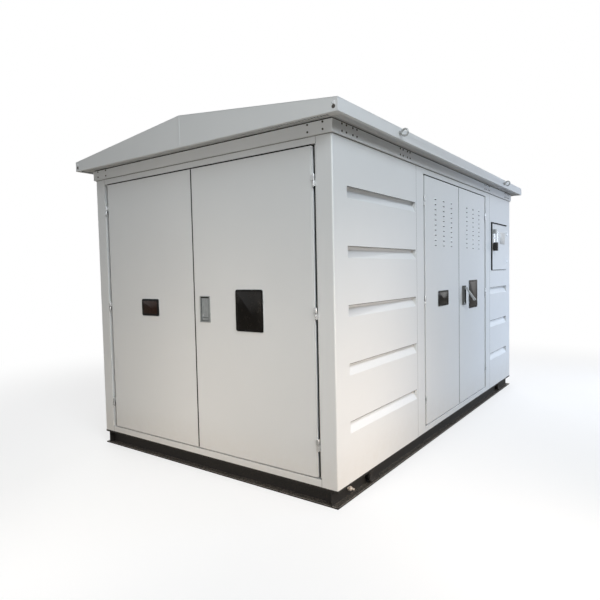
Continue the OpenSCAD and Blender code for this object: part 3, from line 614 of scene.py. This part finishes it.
leftMiddle, rightMiddle = [
    (leaves[leaf][0][0] + leaves[leaf][1][0]) / 2 for leaf in ("frontLeft", "frontRight")]
fieldStart = (louvre["columns"] - 1) / 2 * louvre["across"] - louvre["aside"]
for name, middle, wall, body in (
        ("louvresFrontLeft", leftMiddle, "front", "front_door_left"),
        ("louvresFrontRight", rightMiddle, "front", "front_door_right"),
        ("louvresBackLeft", -rightMiddle, "back", "enclosure"),
        ("louvresBackRight", -leftMiddle, "back", "enclosure")):
    louvreField(name, middle - fieldStart, wall, body)
print("louvres")


def addTurned(name, place, radius, proud, sides, rounding, border=0, dish=0):
    # a turned piece that stands out from its place, towards -Y, with a border round its dish if it has one
    # rounding: width, segments and angle of its rounded edges
    piece = addRound(name, (place[0], place[1] - proud / 2, place[2]), radius, proud, "Y", sides)
    if border:
        sinkFaces(piece, lambda centre, normal: normal.y < -facing, border, (0, dish, 0))
    roundEdges(piece, *rounding)
    return piece


# pan head screws in pairs along the cornice, with a socket each
panScrew = {
    "shape": (6 * mm, 3.4 * mm, 14, (1.2 * mm, 2, 60), 3.4 * mm, 1.8 * mm),  # as addTurned takes it
    "sideAlong": (0.087, 0.136, 0.208, 0.256, 0.849, 0.894, 0.964, 1.008),   # from the walls' corner
    "endAlong": (0.050, 0.152),
    "rows": (2.128, 2.168),
}
for walls, out, half, distances in (
        (("front", "back"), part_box("cornice_sides")[1].y, endFace, panScrew["sideAlong"]),
        (("leftEnd", "rightEnd"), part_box("cornice_ends")[1].x, sideFace, panScrew["endAlong"])):
    places = [(side * (half - distance), -out, height)
            for side in (-1, 1) for distance in distances for height in panScrew["rows"]]
    for wall in walls:
        screw = addTurned("panScrew", (0, 0, 0), *panScrew["shape"])
        screws = repeatAt(wall + "CorniceScrews", screw, places)
        hangOn(screws, wall, "enclosure", "hinge_steel", blackOxide)
print("screws")

vent = {
    "pitch": 20.7 * mm, "slotWide": 10 * mm, "round": 4.4 * mm, "roundSegments": 3,
    "sideSlot": (26 * mm, 78 * mm), "endSlot": (24 * mm, 62 * mm),   # from the wall face outwards
    "wallInner": 50 * mm,                  # the strips reach this far in, over the walls
}
# the mesh lies on top of the slots as a solid black sheet, insect mesh and painted shade of the roof space
# behind it: its levels over the soffit, and how far it laps over them
mesh = {"levels": (0.2 * mm, 1.2 * mm), "lap": 4 * mm, "short": 30 * mm, "soften": 0.3 * mm}
soffitLow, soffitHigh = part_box("soffit")


def ventStrip(name, wall, half, inner, outer, slot):
    # one tile with its slot, repeated along the strip, then plain ends, mitred at the corners
    slotMiddle, long = (slot[0] + slot[1]) / 2, slot[1] - slot[0]
    pitch, wide = vent["pitch"], vent["slotWide"]
    count = int(2 * (half - outer + slot[0] - wide) / pitch)
    start = -count * pitch / 2
    middle = start + pitch / 2
    out, deep = -(inner + outer) / 2, outer - inner
    tile = addPlane(name, (middle, out, soffitHigh.z), (pitch, deep))
    cutAt(tile, [(0, middle - wide / 2), (0, middle + wide / 2),
            (1, -slotMiddle - long / 2), (1, -slotMiddle + long / 2)])

    def inSlot(centre, normal):
        return abs(centre.x - middle) < wide / 4 and abs(centre.y + slotMiddle) < long / 4

    roundCorners(tile, vent["round"], vent["roundSegments"], inSlot)
    dropFaces(tile, inSlot)
    repeatAlong(tile, (pitch, 0, 0), count)
    ends = [addPlane(name + "End", ((low + high) / 2, out, soffitHigh.z), (high - low, deep))
            for low, high in ((-half, start), (-start, half))]
    strip = joinPieces(name, [tile] + ends)
    weldPoints(strip)
    trimAt(strip, (-half, -outer, 0), (-1, 1, 0))
    trimAt(strip, (half, -outer, 0), (1, 1, 0))
    applyModifier(strip, "SOLIDIFY", {"thickness": soffitHigh.z - soffitLow.z, "offset": -1})
    return turnToWall(strip, wall)


soffitStrips, meshSheets = [], []
for wall, face in faceOut.items():
    onSide = wall in ("front", "back")
    half, outer = (soffitHigh.x, soffitHigh.y) if onSide else (soffitHigh.y, soffitHigh.x)
    near, far = [face + edge for edge in vent["sideSlot" if onSide else "endSlot"]]
    inner = face - vent["wallInner"]
    soffitStrips.append(ventStrip("soffitVents", wall, half, inner, outer, (near, far)))
    reach = (half if onSide else sideFace) - mesh["short"]
    sheet = addBlock("insectMesh", (-reach, -far - mesh["lap"], soffitHigh.z + mesh["levels"][0]),
            (reach, -near + mesh["lap"], soffitHigh.z + mesh["levels"][1]))
    roundEdges(sheet, mesh["soften"], 1)
    meshSheets.append(turnToWall(sheet, wall))
finishPiece(joinPieces("insectMesh", meshSheets))
soffitPiece = joinPieces("soffitVents", soffitStrips)
finishPiece(soffitPiece, "enclosure", "cabinet_paint", cabinetPaint)
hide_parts("soffit")
print("soffit")

# black strip in the groove between the cornice and the soffit, painted shadow of the gap there, and thin
# sealant beads under the cornice
corniceLow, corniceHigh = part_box("cornice_sides")
# groove and under: how far proud, and how far below the cornice's edge it starts and ends
beads = {"groove": (4 * mm, 8 * mm, 0.2 * mm), "under": (3 * mm, 4 * mm, 0), "seam": 2.4 * mm,
        "seamProud": 0.5 * mm, "round": 0.8 * mm}


def bead(name, wall, low, high, material):
    addStrip(name, wall, low, high, min(beads["round"], (high[1] - low[1]) / 3),
            "enclosure", "padlock_black", material)


for wall, out in faceOut.items():
    for name, (proud, below, above), edge, material in (
            ("CorniceGrooveShadow", beads["groove"], corniceHigh.z, sealRubber),
            ("CorniceBead", beads["under"], corniceLow.z, greySealant)):
        reach = halfWall[wall] + proud
        bead(wall + name, wall, (-reach, -out - proud, edge - below), (reach, -out, edge - above), material)

# sealant in the butt joints of posts, rails, panels and jambs
wallFoot, wallHead = [corner.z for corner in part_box("corner_post_front_left")]
headLow, footHigh = leafHead + leafGap, leafFoot - leafGap


def seam(name, wall, along, low, high):
    bead(name, wall, (along - beads["seam"] / 2, -faceOut[wall] - beads["seamProud"], low),
         (along + beads["seam"] / 2, -faceOut[wall], high), greySealant)


for side, place in (("Near", -railLow.y), ("Far", -railHigh.y)):
    for end, turn in (("leftEnd", 1), ("rightEnd", -1)):
        seam(end + side + "HeaderSeam", end, turn * place, headLow, wallHead)
        seam(end + side + "SillSeam", end, turn * place, wallFoot, footHigh)
for wall, turn in (("front", 1), ("back", -1)):
    seam(wall + "LeftPanelSeam", wall, turn * jambLow.x, wallFoot, wallHead)
    seam(wall + "RightPanelSeam", wall, turn * jambHigh.x, wallFoot, wallHead)
# dark strip under the ledge of every pressed rib: painted shade of the ledge
ribs = {"tops": (0.468, 0.810, 1.152, 1.494, 1.836), "underMeter": 3, "corner": 152 * mm, "jamb": 18 * mm,
        "tall": 3.2 * mm, "deep": 3 * mm, "clear": 0.2 * mm}
reach, jamb, clear = endFace - ribs["corner"], ribs["jamb"], ribs["clear"]
for wall, low, high, count in (
        ("front", -reach, jambLow.x - jamb, len(ribs["tops"])),
        ("front", jambHigh.x + jamb, reach, ribs["underMeter"]),
        ("back", -reach, -jambHigh.x - jamb, len(ribs["tops"])),
        ("back", -jambLow.x + jamb, reach, len(ribs["tops"]))):
    front = -faceOut[wall] + clear
    for top in ribs["tops"][:count]:
        bead(wall + "RibBead", wall, (low + clear, front, top - ribs["tall"]),
                (high - clear, front + ribs["deep"], top - clear), ribLedgeShade)
print("beads")

# base: a pale strip along the flanges' edges, painted highlight of the edge, and a dished cap on each lifting
# boss
base = {"flange": 8.5 * mm, "worn": 5 * mm, "wornThick": 0.3 * mm, "wornShort": 2 * mm, "wornIn": 1 * mm,
        "wornSoften": 0.12 * mm, "bossAlong": 1.475, "bossHigh": 50 * mm,
        "cap": (34 * mm, 3 * mm, 40, (0.8 * mm, 2, turnedAngle), 7 * mm, 1.6 * mm)}
for wall, out in faceOut.items():
    half, front = halfWall[wall] - base["wornShort"], -out + base["wornIn"]
    addStrip(wall + "FlangeWear", wall, (-half, front, base["flange"]),
            (half, front + base["worn"], base["flange"] + base["wornThick"]),
            base["wornSoften"], "enclosure", "base_paint", flangeEdgeHighlight, 1)
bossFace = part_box("lifting_bosses")[0].y
for wall in ("front", "back"):
    caps = repeatAt(wall + "BossCaps", addTurned("bossCap", (0, 0, 0), *base["cap"]), [
        (side * base["bossAlong"], bossFace, base["bossHigh"]) for side in (-1, 1)])
    hangOn(caps, wall, "enclosure", "base_paint", blackEnamel)
print("base")

# gable corner bolts: a washer with a rounded rim under a six-sided head with a chamfered, dished top
hexBolt = {"head": (8 * mm, 1.3 * mm, 6, (0.3 * mm, 1, 35), 3 * mm, 0.4 * mm), "fromEave": 26 * mm,
        "washer": (11 * mm, 0.6 * mm, 18, (0.2 * mm, 1, turnedAngle))}
boltRows = (("Dark", blackOxide, 2.203), ("Bright", zincPlate, 2.224))     # with their heights
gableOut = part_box("gables")[1].x
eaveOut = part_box("fascias")[1].y
for wall in ("leftEnd", "rightEnd"):
    for finish, material, height in boltRows:
        washer = addTurned("gableBoltWasher", (0, 0, 0), *hexBolt["washer"])
        head = addTurned("gableBolt", (0, -hexBolt["washer"][1], 0), *hexBolt["head"])
        bolts = repeatAt(wall + "GableBolts" + finish, joinPieces("gableBolt", [head, washer]), [
            (side * (eaveOut - hexBolt["fromEave"]), -gableOut, height) for side in (-1, 1)])
        hangOn(bolts, wall, "enclosure", "hinge_steel", material)
print("bolts")


def addPanel(name, wall, span, face, form, ring, body, slot="padlock_black", material=sealRubber):
    # a panel with rounded corners that stands on a face, or only a ring of this width unless ring is 0
    # form: its thickness, corner radius and softened edge
    thick, corner, soften = form
    panel = addSheet(name, span, thick - face)
    roundCorners(panel, corner, 4)
    if ring:
        with editing(panel):
            bpy.ops.mesh.inset(thickness=ring, depth=0)
            bpy.ops.mesh.delete(type="FACE")
    extrudeFaces(panel, (0, thick, 0))
    faceOutwards(panel)
    roundEdges(panel, soften)
    hangOn(panel, wall, body, slot, material)


# dark plates: a pale rim round each, painted highlight of the plate's edge, and a window panel with a lip in
# its middle
plate = {
    "thick": 6 * mm, "gasket": 3 * mm, "gasketForm": (3.5 * mm, 15 * mm, 0.6 * mm),
    "windowForm": (0.9 * mm, 7 * mm, 0.3 * mm), "lip": 2.2 * mm, "lipForm": (1.5 * mm, 9.2 * mm, 0.5 * mm),
}
plates = {   # node: wall, body, border round the window, material of the window
    "end_plate": ("leftEnd", "left_end_door_back", (17 * mm, 15 * mm), tintedWindow),
    "sight_plate": ("leftEnd", "left_end_door_front", (15 * mm, 14 * mm), blackAcrylic),
    "front_plate": ("front", "front_door_left", (16 * mm, 14 * mm), smokedWindow),
    "tall_plate": ("front", "front_door_right", (18 * mm, 15 * mm), dustyWindow),
}
for node, (wall, body, border, material) in plates.items():
    outer, face = wallSpan(node, wall), wallBox(node, wall)[0].y
    inner = widen(outer, -border[0], -border[1], -border[1])
    gasket, lip = plate["gasket"], plate["lip"]
    # the pale rim is a painted highlight round the plate's edge
    addPanel(node + "Gasket", wall, widen(outer, gasket, gasket, gasket), face + plate["thick"],
            plate["gasketForm"], gasket, body, "hinge_steel", plainSheet)
    addPanel(node + "Window", wall, inner, face, plate["windowForm"], 0, body, "gloss_panel", material)
    addPanel(node + "Lip", wall, widen(inner, lip, lip, lip), face, plate["lipForm"],
            lip, body, "gloss_panel", blackAcrylic)
print("plates")

# border, dish, keywayAt and keywayRound are shares of the barrel's radius and height and the keyway's width
keyBarrel = {"sides": 24, "border": 0.22, "dish": 0.15, "rounding": (0.5 * mm, 2, turnedAngle),
        "keywayAt": 0.87, "keywayThick": 0.4 * mm, "keywayRound": 0.4, "keywaySoften": 0.1 * mm}


def keyCylinder(name, place, lock, wall, body):
    # a turned barrel with a dished face and a keyway across it, a black sheet of painted shade
    radius, proud = lock["barrel"]
    wide, tall = lock["keyway"]
    barrel = addTurned(name, place, radius, proud, keyBarrel["sides"], keyBarrel["rounding"],
            keyBarrel["border"] * radius, keyBarrel["dish"] * proud)
    hangOn(barrel, wall, body, "lock_metal", chromeBar)
    span = widen(((place[0], place[2]), (place[0], place[2])), wide / 2, tall / 2, tall / 2)
    thick = keyBarrel["keywayThick"]
    addPanel(name + "Keyway", wall, span, place[1] - keyBarrel["keywayAt"] * proud + thick,
            (thick, keyBarrel["keywayRound"] * wide, keyBarrel["keywaySoften"]), 0, body)


# paddle lock: dark band over the paddle, a raised lip round each, a finger groove drawn as a black strip of
# painted shade, and a key cylinder
paddle = {
    "paddleIn": 15 * mm,                   # the paddle's edges, in from the rim's
    "bandPast": (-9.5 * mm, 14 * mm, -3 * mm),     # past the rim's top edge
    "bandForm": (0.8 * mm, 1.5 * mm, 0.3 * mm),
    "rim": 3.5 * mm, "rimForm": (1 * mm, 3 * mm, 0.4 * mm),
    "lip": 4 * mm, "lipIn": 1 * mm, "lipUnder": 8 * mm, "lipForm": (1.2 * mm, 4 * mm, 0.5 * mm),
    "groove": 3 * mm, "grooveIn": 5 * mm, "grooveUp": 15 * mm, "grooveForm": (0.5 * mm, 1 * mm, 0.2 * mm),
    "barrel": (8.5 * mm, 3 * mm), "barrelIn": 14 * mm, "barrelUp": 38 * mm, "keyway": (1.6 * mm, 8 * mm),
}
rimLow, rimHigh = wallBox("paddle_lock", "leftEnd")
paddleLow, paddleHigh = wallBox("lock_paddle", "leftEnd")
left, right = rimLow.x + paddle["paddleIn"], rimHigh.x - paddle["paddleIn"]
lipIn, grooveIn, grooveFoot = paddle["lipIn"], paddle["grooveIn"], paddleLow.z + paddle["grooveUp"]
rimSpan = wallSpan("paddle_lock", "leftEnd")
bandSpan = widen(((rimLow.x, rimHigh.z), (rimHigh.x, rimHigh.z)), *paddle["bandPast"])
addPanel("paddleLockBand", "leftEnd", bandSpan, rimLow.y, paddle["bandForm"], 0,
        "left_end_door_front", "padlock_black", nylonCoat)
addPanel("paddleLockRim", "leftEnd", rimSpan, rimLow.y, paddle["rimForm"], paddle["rim"],
        "left_end_door_front", "lock_metal", zincCast)
addPanel("lockPaddleLip", "leftEnd",
        ((left + lipIn, paddleLow.z + lipIn), (right - lipIn, paddleHigh.z - paddle["lipUnder"])),
        paddleLow.y, paddle["lipForm"], paddle["lip"], "lock_paddle", "lock_metal", zincCast)
# the finger groove is a black strip: painted shade of the groove
addPanel("lockPaddleGroove", "leftEnd",
        ((left + grooveIn, grooveFoot), (right - grooveIn, grooveFoot + paddle["groove"])),
        paddleLow.y, paddle["grooveForm"], 0, "lock_paddle")
keyCylinder("paddleKeyCylinder", (left + paddle["barrelIn"], paddleLow.y, paddleLow.z + paddle["barrelUp"]),
        paddle, "leftEnd", "lock_paddle")
print("paddle lock")

# swing handle: black trough lining, painted shade in the trough, key barrel, catch on the lever's back and
# pivot caps
handle = {
    "wall": 5 * mm, "floor": 16 * mm, "lining": 1 * mm, "liningCorner": 2 * mm, "liningSoften": 0.3 * mm,
    "sideFront": 1.5 * mm, "sideFoot": 1 * mm, "belowPivot": 16 * mm,
    "barrel": (11 * mm, 9 * mm), "barrelUp": 20 * mm, "keyway": (2 * mm, 10 * mm),
    "rest": -32, "leverWide": 21 * mm, "leverHalf": 4.5 * mm,
    "catch": (5 * mm, 15 * mm, 10 * mm), "catchDown": 102 * mm, "catchHook": (0, 3 * mm, 4 * mm),
    "catchSoften": 1.2 * mm,
    "capRadius": 6 * mm, "capProud": 1.6 * mm, "capSides": 20, "capSoften": 0.7 * mm,
}
baseLow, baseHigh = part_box("handle_base")
pivot = joints["handle_lift"]
thin, soften = handle["lining"], handle["liningSoften"]
troughLeft, troughRight = baseLow.x + handle["wall"], baseHigh.x - handle["wall"]
troughFoot, troughHead = baseLow.z + handle["wall"], pivot.z - handle["belowPivot"]
troughFloor = baseLow.y + handle["floor"]
# black sheets on the trough's floor and right wall: painted shade in the trough
addPanel("handleTroughLining", "front", ((troughLeft, troughFoot), (troughRight, troughHead)), troughFloor,
        (thin, handle["liningCorner"], soften), 0, "front_door_right")
sideLow = (troughRight - thin, baseLow.y + handle["sideFront"], troughFoot + handle["sideFoot"])
addStrip("handleTroughSide", "front", sideLow, (troughRight, troughFloor - thin, troughHead), soften,
        "front_door_right")
keyCylinder("handleKeyBarrel", (pivot.x, troughFloor - thin, baseLow.z + handle["barrelUp"]),
        handle, "front", "front_door_right")


def placeOnLever(piece):
    # modelled hanging straight down from the pivot at the origin, then swung out with the lever
    piece.rotation_euler = (radians(handle["rest"]), 0, 0)
    piece.location = pivot
    applyPlace(piece)
    return piece


catchThick, catchDeep, catchTall = handle["catch"]
catch = addBlock("leverCatch", (-catchThick / 2, 0, -handle["catchDown"] - catchTall),
        (catchThick / 2, handle["leverHalf"] + catchDeep, -handle["catchDown"]))
extrudeFaces(catch, handle["catchHook"], lambda centre, normal: normal.z > facing)
roundEdges(catch, handle["catchSoften"])
finishPiece(placeOnLever(catch), "handle_lever", "padlock_black", blackOxide)
capOut = (handle["leverWide"] + handle["capProud"]) / 2
for side, name in ((-1, "leverCapLeft"), (1, "leverCapRight")):
    cap = addRound(name, (side * capOut, 0, 0), handle["capRadius"], handle["capProud"], "X",
            handle["capSides"], handle["capSoften"])
    finishPiece(placeOnLever(cap), "handle_lever", "lock_metal", chromeBar)
print("swing handle")

# hinges: a dark thrust washer at the joint of each and domed caps at its ends
hinge = {"half": 32.5 * mm, "knuckle": 6 * mm, "washer": 7.4 * mm, "washerThick": 3 * mm, "cap": 3 * mm,
        "sides": 18, "dome": 0.4, "heights": (0.349, 1.111, 1.862)}


def hingeTrim(name, x, y, upperBody):
    # the washer and the lower cap stay on the wall, the upper cap swings with the leaf
    half, cap, thick = hinge["half"], hinge["cap"], hinge["washerThick"]
    places = [(x, y, height) for height in hinge["heights"]]
    for part, offset, tall, radius, body, material in (
            ("Washers", -thick / 2, thick, hinge["washer"], "enclosure", nylonCoat),
            ("LowerCaps", -half - cap / 2, cap, hinge["knuckle"], "enclosure", chromeBar),
            ("UpperCaps", half + cap / 2, cap, hinge["knuckle"], upperBody, chromeBar)):
        pattern = addRound(name + part, (0, 0, offset), radius, tall, "Z",
                hinge["sides"], hinge["dome"] * tall)
        finishPiece(repeatAt(name + part, pattern, places), body, "hinge_steel", material)


for body, signs in (("left_end_door_front", (-1, 1)), ("left_end_door_back", (-1, 1)),
        ("front_door_left", (1, -1)), ("front_door_right", (1, -1))):
    at = joints[body + "_swing"]
    hingeTrim(body + "Hinge", at.x, at.y, body)
    # the right end's and the back's fixed doors hang on mirrored hinges
    hingeTrim(body + "FixedHinge", signs[0] * at.x, signs[1] * at.y, "enclosure")
print("hinges")

# meter door: edge gasket, folded foot lip, blank metal plate held by four rivets
trim = {
    "gasket": 5 * mm, "gasketDeep": 16 * mm, "gasketProud": 6 * mm, "gasketTop": 12 * mm,
    "gasketSoften": 1 * mm, "lip": 5 * mm, "lipSoften": 1.2 * mm,
    "hingeSide": 12 * mm,                  # the strips stop this far short of the hinges
    "plate": ((1.461, 1.608), (1.670, 1.733)), "plateForm": (1.2 * mm, 5 * mm, 0.3 * mm),
    "rivet": (3.2 * mm, 1.4 * mm, 12, (0.6 * mm, 2, turnedAngle)), "rivetPast": -9 * mm,   # past its edges
}
stripFront, stripBack = meterFace - trim["gasketProud"], meterFace + trim["gasketDeep"]
stripTop, stripEnd = meterHigh[1] + trim["gasketTop"], meterHigh[0] - trim["hingeSide"]
sideStrip = addBlock("meterGasketSide", (meterLow[0] - trim["gasket"], stripFront, meterLow[1]),
        (meterLow[0], stripBack, stripTop))
topStrip = addBlock("meterGasketTop", (meterLow[0], stripFront, meterHigh[1]),
        (stripEnd, stripBack, stripTop))
edging = joinPieces("meterEdgeGasket", [sideStrip, topStrip])
roundEdges(edging, trim["gasketSoften"])
finishPiece(edging, "meter_door")
addStrip("meterFootLip", "front", (meterLow[0], meterFace - trim["lip"], meterLow[1]),
        (stripEnd, meterFace, meterLow[1] + trim["lip"]), trim["lipSoften"],
        "meter_door", "cabinet_paint", cabinetPaint)
addPanel("meterBlankPlate", "front", trim["plate"], meterFace, trim["plateForm"], 0,
        "meter_door", "galvanised", plainSheet)
low, high = widen(trim["plate"], trim["rivetPast"], trim["rivetPast"], trim["rivetPast"])
rivets = repeatAt("meterPlateRivets", addTurned("meterRivet", (0, 0, 0), *trim["rivet"]), [
    (x, meterFace - trim["plateForm"][0], z) for x in (low[0], high[0]) for z in (low[1], high[1])])
finishPiece(rivets, "meter_door", "galvanised", plainSheet)
print("meter door")

camera = {
    "place": (-4.318, -2.614, 1.346), "heading": -54.18, "tilt": -3.05, "roll": -1.21,
    "sensor": 36, "lens": 30.88,
}
cameraData = bpy.data.cameras.new("camera")
cameraObject = bpy.data.objects.new("camera", cameraData)
scene.collection.objects.link(cameraObject)
cameraObject.matrix_world = (
    Matrix.Translation(camera["place"]) @ Matrix.Rotation(radians(camera["heading"]), 4, "Z")
    @ Matrix.Rotation(radians(90 + camera["tilt"]), 4, "X")
    @ Matrix.Rotation(radians(camera["roll"]), 4, "Z"))
cameraData.sensor_width = camera["sensor"]
cameraData.lens = camera["lens"]
scene.camera = cameraObject

studio = {
    "ambient": 0.03, "ambientColour": "EEF4FA", "floorSize": 60,
    "floorSeen": "F7F7F7", "floorBounce": "ACA499",   # near white to look at, stone grey in its bounce
    "shadowReach": (3.0, 6.0),     # from here to there the floor fades to the white backdrop
    "floorGlow": 0.65,             # share of plain white in the floor beside the piece
}
# each softbox: place, point it faces, size, power, colour, angle that its grid lets light out at
softboxes = {
    "highSoftbox": ((-4.5, -6.0, 6.0), (-1.5, -1.1, 1.0), 3.0, 402, "F5FCFF", 180),
    "farSoftbox": ((3.5, -6.0, 6.5), (0.8, -1.1, 1.0), 3.0, 70, "BED5FF", 180),
    "lowLeftSoftbox": ((-5.8, -0.9, 1.5), (-1.9, -0.6, 0.5), 1.4, 38, "FFFDFA", 180),
    "lowFrontSoftbox": ((2.6, -4.4, 1.6), (1.6, -1.1, 0.3), 1.4, 26, "DCEAFF", 90),
    "footSoftbox": ((-2.1, -3.4, 0.9), (-1.6, -1.1, 0.2), 0.8, 9.5, "FFEBD8", 80),
    "endFootSoftbox": ((-4.4, -0.4, 0.9), (-1.9, 0.1, 0.3), 0.8, 4.8, "FFEEDC", 80),
    "backSoftbox": ((1.0, 6.5, 6.0), (0.0, 1.1, 1.0), 4.0, 250, "FFFFFF", 180),
    "rightSoftbox": ((7.0, 1.0, 5.2), (1.9, 0.0, 1.0), 3.5, 200, "FFFFFF", 180),
}
for name, (place, target, size, power, colour, spread) in softboxes.items():
    lampData = bpy.data.lights.new(name, "AREA")
    lampData.shape = "SQUARE"
    lampData.size = size
    lampData.spread = radians(spread)
    lampData.energy = power
    lampData.color = hexToLinear(colour)[:3]
    lamp = bpy.data.objects.new(name, lampData)
    scene.collection.objects.link(lamp)
    lamp.location = place
    lamp.rotation_euler = (Vector(target) - Vector(place)).to_track_quat("-Z", "Y").to_euler()

# the world lights the piece faintly, and is white where it's seen
world = bpy.data.worlds.new("studio")
scene.world = world
world.use_nodes = True
worldTree = world.node_tree
lit = worldTree.nodes["Background"]
lit.inputs["Color"].default_value = hexToLinear(studio["ambientColour"])
lit.inputs["Strength"].default_value = studio["ambient"]
shown = addNode(worldTree, "Background", {"Color": (1, 1, 1, 1), "Strength": 1.0})
path = addNode(worldTree, "LightPath").outputs
seen = addNode(worldTree, "Math", {"operation": "MAXIMUM"}, {
    0: path["Is Camera Ray"], 1: path["Is Glossy Ray"]})
seenThrough = addNode(worldTree, "Math", {"operation": "MAXIMUM"}, {
    0: seen.outputs["Value"], 1: path["Is Transmission Ray"]})
backdrop = addNode(worldTree, "MixShader", {}, {
    0: seenThrough.outputs["Value"], 1: lit.outputs["Background"], 2: shown.outputs["Background"]})
worldTree.links.new(backdrop.outputs["Shader"], worldTree.nodes["World Output"].inputs["Surface"])

deselectAll()
bpy.ops.mesh.primitive_plane_add(size=studio["floorSize"], location=(0, 0, 0))
floor = namePiece("studioFloor")
floorMaterial, floorTree, floorShader, floorPlace = startMaterial("paleStudioFloor", {
    "Roughness": 0.95, "Specular IOR Level": 0.1})
reach = addNode(floorTree, "VectorMath", {"operation": "LENGTH"}, {0: floorPlace})
fade = addNode(floorTree, "MapRange", {
    "From Min": studio["shadowReach"][0], "From Max": studio["shadowReach"][1],
    "To Min": studio["floorGlow"], "To Max": 1.0, "interpolation_type": "SMOOTHSTEP"}, {
    "Value": reach.outputs["Value"]})
cameraRay = addNode(floorTree, "LightPath").outputs["Is Camera Ray"]
floorTone = addNode(floorTree, "Mix", {
    "data_type": "RGBA", 6: hexToLinear(studio["floorBounce"]), 7: hexToLinear(studio["floorSeen"])}, {
    0: cameraRay})
floorTree.links.new(floorTone.outputs[2], floorShader.inputs["Base Color"])
white = addNode(floorTree, "Emission", {"Color": (1, 1, 1, 1), "Strength": 1.0})
shownFade = addNode(floorTree, "Math", {"operation": "MULTIPLY"}, {
    0: fade.outputs["Result"], 1: cameraRay})
floorMix = addNode(floorTree, "MixShader", {}, {
    0: shownFade.outputs["Value"], 1: floorShader.outputs["BSDF"], 2: white.outputs["Emission"]})
floorTree.links.new(floorMix.outputs["Shader"], floorTree.nodes["Material Output"].inputs["Surface"])
floor.data.materials.append(floorMaterial)
scene.view_settings.view_transform = "Standard"
print("studio")
